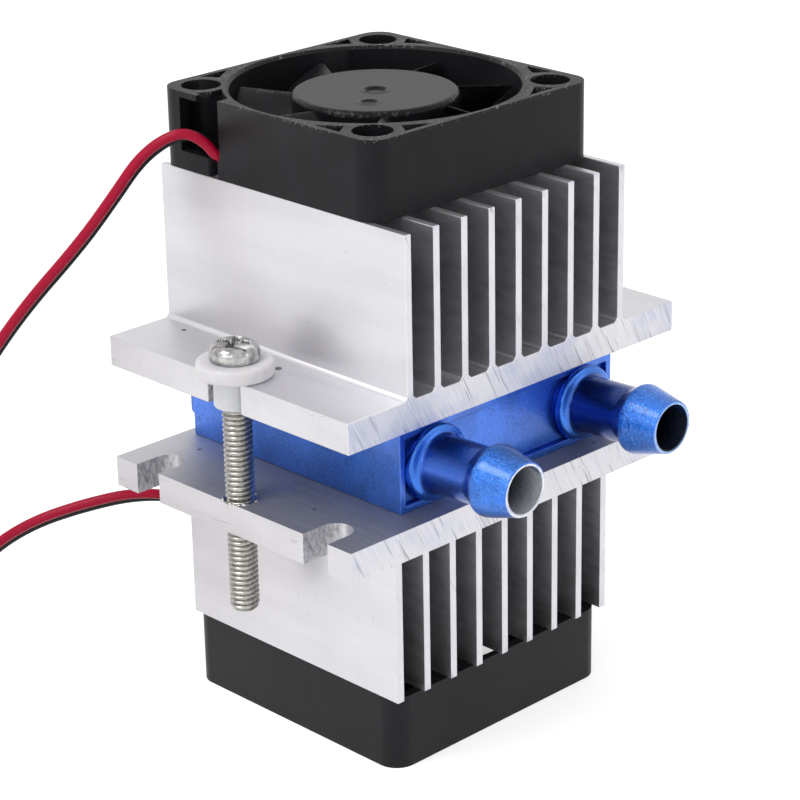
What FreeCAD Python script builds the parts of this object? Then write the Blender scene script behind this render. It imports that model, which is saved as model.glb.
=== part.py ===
"""Thermoelectric cooling module: a water block clamped between two finned heat sinks, each with its own fan.

Frame: +Z up, the floor under the lower fan at z = 0, X from flange to flange, hose barbs towards -Y.
The origin lies under the middle of the heat sinks. All sizes are in millimetres.
"""
import FreeCAD
import Part
import Sketcher
import math
import os
import re

# Driving dimensions, each written once
SIZES = {
    # heat sinks
    "plate_length": 60.5,
    "plate_depth": 45.5,
    "plate_thickness": 4.2,
    "fin_count": 9,
    "fin_thickness": 1.1,
    "fin_pack_width": 40.2,
    "fin_height": 21.4,
    "lower_fin_inset": 2.65,
    "fin_root_radius": 0.5,
    # slots in the flanges
    "screw_edge_distance": 2.05,
    "upper_slot_width": 6.2,
    "upper_slot_depth": 6.4,
    "lower_slot_width": 4.5,
    "lower_slot_depth": 5.8,
    "lower_slot_spacing": 32.5,
    # clamp screws and shoulder washers
    "shank_radius": 1.95,
    "screw_length": 35.0,
    "screw_head_radius": 3.5,
    "screw_head_height": 2.5,
    "screw_recess_width": 0.9,
    "screw_recess_span": 3.9,
    "screw_recess_depth": 1.5,
    "screw_tip_chamfer": 0.5,
    "washer_radius": 5.2,
    "washer_thickness": 2.3,
    "washer_edge_round": 0.7,
    "sleeve_radius": 2.9,
    "thread_clearance": 0.05,
    "sleeve_clearance": 0.12,
    # thermoelectric element
    "ceramic_thickness": 0.5,
    "ceramic_side": 30.0,
    "pellet_height": 1.0,
    "pellet_side": 1.4,
    "pellet_rows": 9,
    "pellet_margin": 1.5,
    # water block
    "block_width": 40.0,
    "block_depth": 40.0,
    "block_height": 11.0,
    "block_shift_x": 2.1,
    "block_shift_y": 1.05,
    "block_side_wall": 2.0,
    "block_face_wall": 1.5,
    "channel_web": 1.2,
    "turn_gap": 6.0,
    "rim_width": 1.0,
    "front_cap_thickness": 1.2,
    "front_cap_recess": 0.8,
    "cap_clearance": 0.05,
    "rear_neck_inset": 2.2,
    "rear_neck_depth": 1.2,
    "rear_cap_inset": 1.4,
    "rear_cap_thickness": 1.05,
    "cap_corner_radius": 1.5,
    # hose barbs
    "barb_bore_radius": 3.1,
    "barb_mouth_radius": 3.55,
    "barb_crest_radius": 4.75,
    "barb_neck_radius": 3.85,
    "barb_collar_radius": 5.1,
    "barb_stub_radius": 4.2,
    "barb_collar_thickness": 1.2,
    "barb_neck_length": 8.2,
    "barb_rise_length": 1.1,
    "barb_crest_land": 0.6,
    "barb_taper_length": 4.8,
    "barb_root_fillet": 0.8,
    # fan frames
    "fan_side": 40.0,
    "fan_height": 10.4,
    "fan_corner_radius": 3.0,
    "duct_radius": 19.0,
    "duct_lip": 0.4,
    "duct_wall": 0.9,
    "fan_hole_spacing": 32.0,
    "fan_hole_radius": 2.6,
    "frame_wall": 0.9,
    "pocket_tip": 8.8,
    "pocket_near_x": 12.0,
    "pocket_near_y": 17.0,
    "pocket_heel": 13.4,
    "pocket_depth": 8.0,
    "recess_start": 8.25,
    "recess_open_end": 12.4,
    "recess_end": 15.7,
    "recess_inner_x": 14.6,
    "recess_floor": 2.5,
    "recess_roof": 0.8,
    "recess_sill": 1.3,
    "lower_fan_shift": 0.5,
    # fan motor
    "motor_base_radius": 11.2,
    "motor_base_thickness": 1.3,
    "strut_width": 3.0,
    "lead_strut_width": 4.4,
    "strut_height": 2.5,
    "lead_angle": 154.4,
    "channel_width": 1.6,
    "channel_height": 3.2,
    "bearing_tube_radius": 2.6,
    "bearing_radius": 2.0,
    "bearing_end_gap": 0.6,
    "shaft_radius": 1.0,
    "shaft_clearance": 0.03,
    "shaft_end_gap": 0.1,
    "board_radius": 10.0,
    "board_thickness": 0.8,
    "core_radius": 7.6,
    "core_bottom": 3.5,
    "winding_roof_gap": 1.1,
    "pole_width": 2.0,
    "slot_floor_radius": 3.8,
    "slot_roof_radius": 6.5,
    "slot_mouth": 1.2,
    "winding_thickness": 0.9,
    "winding_start": 4.1,
    "winding_end": 5.7,
    # impellers
    "hub_radius": 11.0,
    "hub_recess": 1.0,
    "hub_roof": 1.2,
    "hub_edge_round": 0.5,
    "hub_skirt_gap": 3.3,
    "hub_inner_radius": 9.7,
    "hub_boss_radius": 2.2,
    "hub_boss_height": 1.0,
    "shaft_seat": 0.6,
    "dimple_radius": 1.45,
    "dimple_depth": 0.25,
    "gate_mark_radius": 1.1,
    "gate_mark_distance": 6.0,
    "gate_mark_angle": 172.0,
    "yoke_thickness": 0.5,
    "magnet_thickness": 1.1,
    "magnet_roof_gap": 0.7,
    "blade_count": 7,
    "blade_tip_gap": 0.6,
    "blade_thickness": 0.9,
    "blade_top_gap": 1.6,
    "blade_bottom_gap": 3.4,
    "blade_root_lead": 1.5,
    "blade_root_trail": 3.2,
    "blade_tip_lead": 5.0,
    "blade_tip_trail": 3.4,
    "blade_camber": 0.7,
    "blade_first_angle": 136.0,
    # leads
    "lead_radius": 0.7,
    "coil_turn_radius": 7.6,
    "coil_height": 2.95,
    "coil_side_shift": 3.3,
    "coil_plug_gap": 4.0,
    "plug_length": 7.0,
    "plug_width": 5.0,
    "plug_height": 3.4,
}

# Places worked out from the driving dimensions
PLACES = {
    "lower_plate_bottom": "fan_height + fin_height",
    "lower_plate_top": "lower_plate_bottom + plate_thickness",
    "element_bottom": "lower_plate_top + block_height",
    "pellet_bottom": "element_bottom + ceramic_thickness",
    "pellet_top": "pellet_bottom + pellet_height",
    "upper_plate_bottom": "pellet_top + ceramic_thickness",
    "upper_plate_top": "upper_plate_bottom + plate_thickness",
    "upper_fan_base": "upper_plate_top + fin_height",
    "upper_fan_shift": "(plate_depth - fan_side) / 2",
    "fin_pitch": "(fin_pack_width - fin_thickness) / (fin_count - 1)",
    "screw_x": "plate_length / 2 - screw_edge_distance",
    "washer_top": "upper_plate_top + washer_thickness",
    "channel_room": "block_width - 2 * block_side_wall - 3 * channel_web",
    "block_channel_width": "channel_room / 4",
    "barb_offset": "block_width / 2 - block_side_wall - block_channel_width / 2",
    "block_front": "block_shift_y - block_depth / 2",
    "block_rear": "block_shift_y + block_depth / 2",
    "block_middle_z": "lower_plate_top + block_height / 2",
    "front_cap_face": "block_front + front_cap_recess",
    "barb_stub_length": "front_cap_recess + front_cap_thickness",
    "barb_neck_end": "barb_collar_thickness + barb_neck_length",
    "barb_crest_start": "barb_neck_end + barb_rise_length",
    "barb_crest_end": "barb_crest_start + barb_crest_land",
    "barb_reach": "barb_crest_end + barb_taper_length",
    "hub_top": "fan_height - hub_recess",
    "hub_ceiling": "hub_top - hub_roof",
    "bearing_tube_top": "hub_ceiling - hub_boss_height - bearing_end_gap",
    "core_thickness": "hub_ceiling - winding_roof_gap - winding_thickness - core_bottom",
    "magnet_height": "hub_ceiling - magnet_roof_gap - hub_skirt_gap",
    "blade_tip_radius": "duct_radius - blade_tip_gap",
    "blade_top": "fan_height - blade_top_gap",
}

doc = FreeCAD.newDocument("cooling_module")


def write_sheet(name, rows):
    """A spreadsheet with one aliased cell for each row."""
    sheet = doc.addObject("Spreadsheet::Sheet", name)
    for number, (alias, content) in enumerate(rows.items(), start=1):
        sheet.set("A%d" % number, alias)
        sheet.set("B%d" % number, str(content))
        sheet.setAlias("B%d" % number, alias)
    return sheet


def formula(text):
    """The text with each size's name led by the sheet that holds it."""
    def lead(word):
        if word.group(0) in SIZES:
            return "dims." + word.group(0)
        if word.group(0) in PLACES:
            return "places." + word.group(0)
        return word.group(0)
    return re.sub(r"[a-z][a-z_]*", lead, text)


dims = write_sheet("dims", SIZES)
doc.recompute()
places = write_sheet("places", {alias: "=" + formula(text).replace("places.", "") for alias, text in PLACES.items()})
doc.recompute()


def size(alias):
    """A size's or a place's present value."""
    return float(dims.get(alias) if alias in SIZES else places.get(alias))


def bind(item, property_name, text):
    """Ties one property to a formula of sizes."""
    item.setExpression(property_name, formula(str(text)))


# Helpers for sketched bodies
def plane_of(body, role):
    """The body's own origin plane with that role."""
    return [feature for feature in body.Origin.OriginFeatures if feature.Role == role][0]


def new_body(label):
    """An empty body named after its piece."""
    body = doc.addObject("PartDesign::Body", label)
    body.Label = label
    return body


def sketch_on(body, role, name, lift="0"):
    """A sketch on an origin plane, lifted along the plane's normal."""
    sketch = body.newObject("Sketcher::SketchObject", name)
    sketch.AttachmentSupport = [(plane_of(body, role), "")]
    sketch.MapMode = "FlatFace"
    bind(sketch, "AttachmentOffset.Base.z", lift)
    return sketch


def draw_outline(sketch, corners):
    """A closed outline whose corners are pinned by pairs of formulas."""
    count = len(corners)
    first = sketch.GeometryCount
    start = [FreeCAD.Vector(math.cos(2 * math.pi * i / count), math.sin(2 * math.pi * i / count), 0) for i in range(count)]
    for i in range(count):
        sketch.addGeometry(Part.LineSegment(start[i], start[(i + 1) % count]), False)
    for i in range(count):
        sketch.addConstraint(Sketcher.Constraint("Coincident", first + i, 2, first + (i + 1) % count, 1))
    for i, corner in enumerate(corners):
        for kind, text in zip(("DistanceX", "DistanceY"), corner):
            number = sketch.addConstraint(Sketcher.Constraint(kind, -1, 1, first + i, 1, 1.0))
            bind(sketch, "Constraints[%d]" % number, text)


def rectangle(x_low, y_low, x_high, y_high):
    """The four corners of an upright rectangle."""
    return [(x_low, y_low), (x_high, y_low), (x_high, y_high), (x_low, y_high)]


def draw_circle(sketch, radius, x="0", y="0"):
    """A circle whose centre and radius follow formulas."""
    number = sketch.addGeometry(Part.Circle(FreeCAD.Vector(1, 1, 0), FreeCAD.Vector(0, 0, 1), 1.0), False)
    for kind, text in (("DistanceX", x), ("DistanceY", y)):
        place = sketch.addConstraint(Sketcher.Constraint(kind, -1, 1, number, 3, 1.0))
        bind(sketch, "Constraints[%d]" % place, text)
    bind(sketch, "Constraints[%d]" % sketch.addConstraint(Sketcher.Constraint("Radius", number, 1.0)), radius)


def pad(body, sketch, length):
    """Material from the sketch along its normal."""
    feature = body.newObject("PartDesign::Pad", sketch.Name + "_pad")
    feature.Profile = sketch
    bind(feature, "Length", length)
    return feature


def pocket(body, sketch, depth, upwards):
    """A cut from the sketch, along its normal when upwards, else against it."""
    feature = body.newObject("PartDesign::Pocket", sketch.Name + "_pocket")
    feature.Profile = sketch
    feature.Reversed = upwards
    bind(feature, "Length", depth)
    return feature


def revolve(body, sketch, kind="Revolution"):
    """The sketch turned once round its own vertical axis."""
    feature = body.newObject("PartDesign::" + kind, sketch.Name + "_turn")
    feature.Profile = sketch
    feature.ReferenceAxis = (sketch, ["V_Axis"])
    feature.Angle = 360
    return feature


def repeat_round(body, feature, count):
    """Copies of a feature evenly round the body's Z axis."""
    pattern = body.newObject("PartDesign::PolarPattern", feature.Name + "_round")
    pattern.Originals = [feature]
    pattern.Axis = ([axis for axis in body.Origin.OriginFeatures if axis.Role == "Z_Axis"][0], [""])
    pattern.Angle = 360
    bind(pattern, "Occurrences", count)
    body.Tip = pattern
    return pattern


def edges_where(shape, test):
    """Names of the edges that pass the test."""
    return ["Edge%d" % (i + 1) for i, edge in enumerate(shape.Edges) if test(edge)]


def dress(body, kind, base, names, property_name, amount):
    """A fillet or chamfer on named edges of the base feature."""
    feature = body.newObject("PartDesign::" + kind, base.Name + "_" + kind.lower())
    feature.Base = (base, names)
    bind(feature, property_name, amount)
    body.Tip = feature
    return feature


def is_upright(edge):
    """True for a straight edge along Z."""
    box = edge.BoundBox
    return box.ZLength > 0.1 and box.XLength < 0.001 and box.YLength < 0.001


def is_circle_at(edge, radius, height):
    """True for a full circle of that radius at that height."""
    curve = edge.Curve
    if not isinstance(curve, Part.Circle) or len(edge.Vertexes) != 1:
        return False
    return abs(curve.Radius - radius) < 0.001 and abs(curve.Center.z - height) < 0.001


# Helpers for primitives
def box_of(label, low, high):
    """A box between two corners given as formulas."""
    box = doc.addObject("Part::Box", label)
    box.Label = label
    for side, axis, a, b in zip(("Length", "Width", "Height"), "xyz", low, high):
        bind(box, side, "(%s) - (%s)" % (b, a))
        bind(box, "Placement.Base." + axis, a)
    return box


def cylinder_of(label, radius, bottom, top):
    """An upright cylinder on the Z axis."""
    cylinder = doc.addObject("Part::Cylinder", label)
    bind(cylinder, "Radius", radius)
    bind(cylinder, "Height", "(%s) - (%s)" % (top, bottom))
    bind(cylinder, "Placement.Base.z", bottom)
    return cylinder


def cut_from(label, base, tool):
    """One solid less another."""
    result = doc.addObject("Part::Cut", label)
    result.Label = label
    result.Base = base
    result.Tool = tool
    return result


def pin_of(label, radius, bottom, top):
    """A plain round pin on the Z axis."""
    body = new_body(label)
    disc = sketch_on(body, "XY_Plane", label + "_disc", bottom)
    draw_circle(disc, radius)
    pad(body, disc, "(%s) - (%s)" % (top, bottom))
    return body


def ring_of(label, outer, inner, bottom, top):
    """A round ring on the Z axis."""
    outside = cylinder_of(label + "_outside", outer, bottom, top)
    inside = cylinder_of(label + "_inside", inner, bottom, top)
    return cut_from(label, outside, inside)


def turned(x, y, angle):
    """The point (x, y) turned about the origin, as formulas."""
    return (
        "(%s) * cos(%s) - (%s) * sin(%s)" % (x, angle, y, angle),
        "(%s) * sin(%s) + (%s) * cos(%s)" % (x, angle, y, angle),
    )


# Heat sinks
def draw_slots(body, label, width, depth, centres):
    """Open slots with round inner ends, cut in from both outer edges of the plate."""
    feature = None
    for side, hand in (("left", -1), ("right", 1)):
        for number, centre in enumerate(centres):
            edge = "%d * (plate_length / 2 + 1)" % hand
            straight_end = "%d * (plate_length / 2 - %s + %s / 2)" % (hand, depth, width)
            low, high = "%s - %s / 2" % (centre, width), "%s + %s / 2" % (centre, width)
            name = "%s_%s_slot_%d" % (label, side, number + 1)
            straight = sketch_on(body, "XY_Plane", name)
            draw_outline(straight, rectangle(edge, low, straight_end, high))
            feature = pocket(body, straight, "plate_thickness", True)
            bowl = sketch_on(body, "XY_Plane", name + "_end")
            draw_circle(bowl, width + " / 2", straight_end, centre)
            feature = pocket(body, bowl, "plate_thickness", True)
    return feature


def heat_sink(label, fins_up, inset, slot_width, slot_depth, slot_centres, screw_holes):
    """An extruded sink: a flanged plate from z = 0 up, and a row of fins on its upper or lower face."""
    body = new_body(label)
    plate = sketch_on(body, "XY_Plane", label + "_plate")
    half_length, half_depth = "plate_length / 2", "plate_depth / 2"
    draw_outline(plate, rectangle("-" + half_length, "-" + half_depth, half_length, half_depth))
    pad(body, plate, "plate_thickness")
    fin = sketch_on(body, "XZ_Plane", label + "_fin", "%s - plate_depth / 2" % inset)
    near = "-fin_pack_width / 2"
    if fins_up:
        root, tip, sign = "plate_thickness", "plate_thickness + fin_height", "+"
    else:
        root, tip, sign = "0", "-fin_height", "-"
    right = near + " + fin_thickness"
    draw_outline(fin, [
        (near + " - fin_root_radius", root),
        (near, "%s %s fin_root_radius" % (root, sign)),
        (near, tip),
        (right, tip),
        (right, "%s %s fin_root_radius" % (root, sign)),
        (right + " + fin_root_radius", root),
    ])
    first = pad(body, fin, "plate_depth - 2 * (%s)" % inset)
    row = body.newObject("PartDesign::LinearPattern", label + "_fin_row")
    row.Originals = [first]
    row.Direction = ([axis for axis in body.Origin.OriginFeatures if axis.Role == "X_Axis"][0], [""])
    bind(row, "Occurrences", "fin_count")
    bind(row, "Length", "fin_pack_width - fin_thickness")
    body.Tip = row
    draw_slots(body, label, slot_width, slot_depth, slot_centres)
    if screw_holes:
        holes = sketch_on(body, "XY_Plane", label + "_screw_holes")
        for hand in ("-", ""):
            draw_circle(holes, "shank_radius + thread_clearance", hand + "screw_x", "0")
        pocket(body, holes, "plate_thickness", True)
    return body


# Water block
def water_block():
    """The block: a body with four channels, its two end caps and the two barbs."""
    body = new_body("water_block_body")
    left, right = "block_shift_x - block_width / 2", "block_shift_x + block_width / 2"
    outline = sketch_on(body, "XY_Plane", "block_outline", "lower_plate_top")
    draw_outline(outline, rectangle(left, "block_front", right, "block_rear"))
    pad(body, outline, "block_height")
    mouth = sketch_on(body, "XZ_Plane", "block_mouth", "-block_front")
    draw_outline(mouth, rectangle(
        left + " + rim_width", "lower_plate_top + rim_width",
        right + " - rim_width", "element_bottom - rim_width"))
    pocket(body, mouth, "front_cap_recess + front_cap_thickness", False)
    floor, roof = "lower_plate_top + block_face_wall", "element_bottom - block_face_wall"
    channels = sketch_on(body, "XZ_Plane", "block_channels", "-block_front")
    for number in range(4):
        start = "%s + block_side_wall + %d * (block_channel_width + channel_web)" % (left, number)
        draw_outline(channels, rectangle(start, floor, start + " + block_channel_width", roof))
    pocket(body, channels, "block_depth", False)
    for number in range(3):
        web = "%s + block_side_wall + %d * (block_channel_width + channel_web)" % (left, number)
        web_left, web_right = web + " + block_channel_width - 0.1", web + " + block_channel_width + channel_web + 0.1"
        at_rear = number != 1
        near = "block_rear - turn_gap" if at_rear else "block_front"
        far = "block_rear" if at_rear else "block_front + turn_gap"
        turn = sketch_on(body, "XY_Plane", "block_turn_%d" % (number + 1), floor)
        draw_outline(turn, rectangle(web_left, near, web_right, far))
        pocket(body, turn, "block_height - 2 * block_face_wall", True)

    front = new_body("water_block_front_cap")
    plate = sketch_on(front, "XZ_Plane", "front_cap_plate", "-front_cap_face")
    draw_outline(plate, rectangle(
        left + " + rim_width + cap_clearance", "lower_plate_top + rim_width + cap_clearance",
        right + " - rim_width - cap_clearance", "element_bottom - rim_width - cap_clearance"))
    plate_pad = pad(front, plate, "front_cap_thickness")
    plate_pad.Reversed = True
    holes = sketch_on(front, "XZ_Plane", "front_cap_holes", "-front_cap_face")
    for hand in ("-", "+"):
        draw_circle(holes, "barb_stub_radius", "block_shift_x %s barb_offset" % hand, "block_middle_z")
    pocket(front, holes, "front_cap_thickness", False)

    rear = new_body("water_block_rear_cap")
    for name, inset, start, depth in (
        ("rear_neck", "rear_neck_inset", "block_rear", "rear_neck_depth"),
        ("rear_plate", "rear_cap_inset", "block_rear + rear_neck_depth", "rear_cap_thickness"),
    ):
        step = sketch_on(rear, "XZ_Plane", name, "-(%s)" % start)
        draw_outline(step, rectangle(
            "%s + %s" % (left, inset), "lower_plate_top + " + inset,
            "%s - %s" % (right, inset), "element_bottom - " + inset))
        step_pad = pad(rear, step, depth)
        step_pad.Reversed = True
    doc.recompute()
    plate_rear = size("block_rear") + size("rear_neck_depth")
    corners = edges_where(step_pad.Shape, lambda edge: edge.BoundBox.YLength > 0.1
                          and edge.BoundBox.XLength < 0.001 and edge.BoundBox.ZLength < 0.001
                          and edge.BoundBox.YMin > plate_rear - 0.01)
    dress(rear, "Fillet", step_pad, corners, "Radius", "cap_corner_radius")


def hose_barb(label, hand):
    """A turned barb: stub, collar, neck, crest and taper, bored right through, drawn along its own Z."""
    body = new_body(label)
    profile = sketch_on(body, "XZ_Plane", label + "_profile")
    draw_outline(profile, [
        ("barb_bore_radius", "-barb_stub_length"),
        ("barb_stub_radius", "-barb_stub_length"),
        ("barb_stub_radius", "0"),
        ("barb_collar_radius", "0"),
        ("barb_collar_radius", "barb_collar_thickness"),
        ("barb_neck_radius", "barb_collar_thickness"),
        ("barb_neck_radius", "barb_neck_end"),
        ("barb_crest_radius", "barb_crest_start"),
        ("barb_crest_radius", "barb_crest_end"),
        ("barb_mouth_radius", "barb_reach"),
        ("barb_bore_radius", "barb_reach"),
    ])
    turn = revolve(body, profile)
    doc.recompute()
    neck, collar, crest = size("barb_neck_radius"), size("barb_collar_thickness"), size("barb_crest_radius")
    bends = edges_where(turn.Shape, lambda edge: is_circle_at(edge, neck, collar)
                        or is_circle_at(edge, neck, size("barb_neck_end"))
                        or is_circle_at(edge, crest, size("barb_crest_start")))
    dress(body, "Fillet", turn, bends, "Radius", "barb_root_fillet")
    body.Placement = FreeCAD.Placement(FreeCAD.Vector(0, 0, 0), FreeCAD.Rotation(FreeCAD.Vector(1, 0, 0), 90))
    bind(body, "Placement.Base.x", "block_shift_x %s barb_offset" % hand)
    bind(body, "Placement.Base.y", "block_front")
    bind(body, "Placement.Base.z", "block_middle_z")


# Thermoelectric element
def ceramic_plate(label, bottom, top):
    """A square ceramic face of the element."""
    half = "ceramic_side / 2"
    box_of(label,
           ("block_shift_x - " + half, "block_shift_y - " + half, bottom),
           ("block_shift_x + " + half, "block_shift_y + " + half, top))


def pellet_grid():
    """The semiconductor pellets: a square grid of small blocks between the ceramic plates."""
    side, margin = size("pellet_side"), size("pellet_margin")
    rows = int(size("pellet_rows"))
    start = margin - size("ceramic_side") / 2
    step = (size("ceramic_side") - 2 * margin - side) / (rows - 1)
    pellets = []
    for row in range(rows):
        for column in range(rows):
            corner = FreeCAD.Vector(size("block_shift_x") + start + row * step,
                                    size("block_shift_y") + start + column * step, size("pellet_bottom"))
            pellets.append(Part.makeBox(side, side, size("pellet_height"), corner))
    grid = doc.addObject("Part::Feature", "element_pellets")
    grid.Label = "element_pellets"
    grid.Shape = Part.makeCompound(pellets)


# Clamp screws and washers
def clamp_screw(label, hand):
    """A pan head screw with a cross recess, head at the washer and tip below the lower flange."""
    body = new_body(label)
    profile = sketch_on(body, "XZ_Plane", label + "_profile")
    draw_outline(profile, [
        ("0", "-screw_length"),
        ("shank_radius - screw_tip_chamfer", "-screw_length"),
        ("shank_radius", "screw_tip_chamfer - screw_length"),
        ("shank_radius", "0"),
        ("screw_head_radius", "0"),
        ("screw_head_radius", "screw_head_height"),
        ("0", "screw_head_height"),
    ])
    turn = revolve(body, profile)
    doc.recompute()
    rim = edges_where(turn.Shape, lambda edge: is_circle_at(edge, size("screw_head_radius"), size("screw_head_height")))
    head = dress(body, "Fillet", turn, rim, "Radius", "screw_head_height * 0.6")
    for name, wide, deep in (
        ("_recess_x", "screw_recess_span / 2", "screw_recess_width / 2"),
        ("_recess_y", "screw_recess_width / 2", "screw_recess_span / 2"),
    ):
        arm = sketch_on(body, "XY_Plane", label + name, "screw_head_height")
        draw_outline(arm, rectangle("-" + wide, "-" + deep, wide, deep))
        pocket(body, arm, "screw_recess_depth", False)
    bind(body, "Placement.Base.x", hand + "screw_x")
    bind(body, "Placement.Base.z", "washer_top")
    return head


def shoulder_washer(label, hand):
    """A nylon washer: a thick flange on the plate and a sleeve down in the slot."""
    body = new_body(label)
    profile = sketch_on(body, "XZ_Plane", label + "_profile")
    draw_outline(profile, [
        ("shank_radius + sleeve_clearance", "-plate_thickness"),
        ("sleeve_radius", "-plate_thickness"),
        ("sleeve_radius", "0"),
        ("washer_radius", "0"),
        ("washer_radius", "washer_thickness"),
        ("shank_radius + sleeve_clearance", "washer_thickness"),
    ])
    turn = revolve(body, profile)
    doc.recompute()
    radius = size("washer_radius")
    rims = edges_where(turn.Shape, lambda edge: is_circle_at(edge, radius, 0)
                       or is_circle_at(edge, radius, size("washer_thickness")))
    dress(body, "Fillet", turn, rims, "Radius", "washer_edge_round")
    bind(body, "Placement.Base.x", hand + "screw_x")
    bind(body, "Placement.Base.z", "upper_plate_top")


# Fans, drawn with the stator side at z = 0 and the air intake at the top
def fan_frame(label):
    """The moulded frame: square walls, duct, corner pockets, lead recess, struts and motor base."""
    body = new_body(label)
    half = "fan_side / 2"
    square = sketch_on(body, "XY_Plane", label + "_square")
    draw_outline(square, rectangle("-" + half, "-" + half, half, half))
    walls = pad(body, square, "fan_height")
    doc.recompute()
    dress(body, "Fillet", walls, edges_where(walls.Shape, is_upright), "Radius", "fan_corner_radius")
    edge = half + " - frame_wall"
    for name, corners in (
        ("_pocket_a", [("pocket_tip", edge), ("pocket_near_x", "pocket_near_y"), ("pocket_heel", edge)]),
        ("_pocket_b", [(edge, "pocket_tip"), (edge, "pocket_heel"), ("pocket_near_y", "pocket_near_x")]),
    ):
        hollow = sketch_on(body, "XY_Plane", label + name, "fan_height")
        draw_outline(hollow, corners)
        repeat_round(body, pocket(body, hollow, "pocket_depth", False), "4")
    outer = "-fan_side / 2 - 1"
    recess = sketch_on(body, "XY_Plane", label + "_recess", "recess_floor")
    draw_outline(recess, rectangle(outer, "recess_start", "-recess_inner_x", "recess_end"))
    pocket(body, recess, "fan_height - recess_roof - recess_floor", True)
    gap = sketch_on(body, "XY_Plane", label + "_recess_gap", "fan_height")
    draw_outline(gap, rectangle(outer, "recess_start", "-recess_inner_x", "recess_open_end"))
    pocket(body, gap, "recess_roof", False)
    well = sketch_on(body, "XY_Plane", label + "_recess_well")
    draw_outline(well, rectangle("recess_sill - fan_side / 2", "recess_start", "-recess_inner_x", "recess_end"))
    pocket(body, well, "recess_floor", True)
    collar = sketch_on(body, "XY_Plane", label + "_duct_wall")
    draw_circle(collar, "duct_radius + duct_wall")
    pad(body, collar, "fan_height")
    bore = sketch_on(body, "XY_Plane", label + "_duct")
    draw_circle(bore, "duct_radius")
    duct = pocket(body, bore, "fan_height", True)
    doc.recompute()
    lip = edges_where(duct.Shape, lambda edge: is_circle_at(edge, size("duct_radius"), size("fan_height")))
    dress(body, "Chamfer", duct, lip, "Size", "duct_lip")
    base = sketch_on(body, "XY_Plane", label + "_motor_base")
    draw_circle(base, "motor_base_radius")
    pad(body, base, "motor_base_thickness")
    strut = sketch_on(body, "XY_Plane", label + "_strut")
    inner, reach, wide = "motor_base_radius - 1", "duct_radius + duct_wall / 2", "strut_width / 2"
    draw_outline(strut, [
        turned(inner, "-" + wide, "lead_angle"), turned(reach, "-" + wide, "lead_angle"),
        turned(reach, wide, "lead_angle"), turned(inner, wide, "lead_angle"),
    ])
    repeat_round(body, pad(body, strut, "strut_height"), "4")
    broad, wide = sketch_on(body, "XY_Plane", label + "_lead_strut"), "lead_strut_width / 2"
    draw_outline(broad, [
        turned(inner, "-" + wide, "lead_angle"), turned(reach, "-" + wide, "lead_angle"),
        turned(reach, wide, "lead_angle"), turned(inner, wide, "lead_angle"),
    ])
    pad(body, broad, "strut_height")
    tube = sketch_on(body, "XY_Plane", label + "_bearing_tube")
    draw_circle(tube, "bearing_tube_radius")
    pad(body, tube, "bearing_tube_top")
    seat = sketch_on(body, "XY_Plane", label + "_bearing_seat", "motor_base_thickness")
    draw_circle(seat, "bearing_radius")
    pocket(body, seat, "bearing_tube_top - motor_base_thickness", True)
    channel = sketch_on(body, "XY_Plane", label + "_lead_channel")
    start, stop, wide = "board_radius", "fan_side * 0.6", "channel_width / 2"
    draw_outline(channel, [
        turned(start, "-" + wide, "lead_angle"), turned(stop, "-" + wide, "lead_angle"),
        turned(stop, wide, "lead_angle"), turned(start, wide, "lead_angle"),
    ])
    pocket(body, channel, "channel_height", True)
    bay = sketch_on(body, "XY_Plane", label + "_lead_bay")
    start, stop = "duct_radius - 3", "duct_radius + duct_wall + 0.6"
    near, far = "-channel_width / 2 - 2", "channel_width / 2"
    draw_outline(bay, [
        turned(start, near, "lead_angle"), turned(stop, near, "lead_angle"),
        turned(stop, far, "lead_angle"), turned(start, far, "lead_angle"),
    ])
    pocket(body, bay, "channel_height", True)
    hole = sketch_on(body, "XY_Plane", label + "_screw_hole")
    draw_circle(hole, "fan_hole_radius", "fan_hole_spacing / 2", "fan_hole_spacing / 2")
    repeat_round(body, pocket(body, hole, "fan_height", True), "4")
    return body


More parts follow.
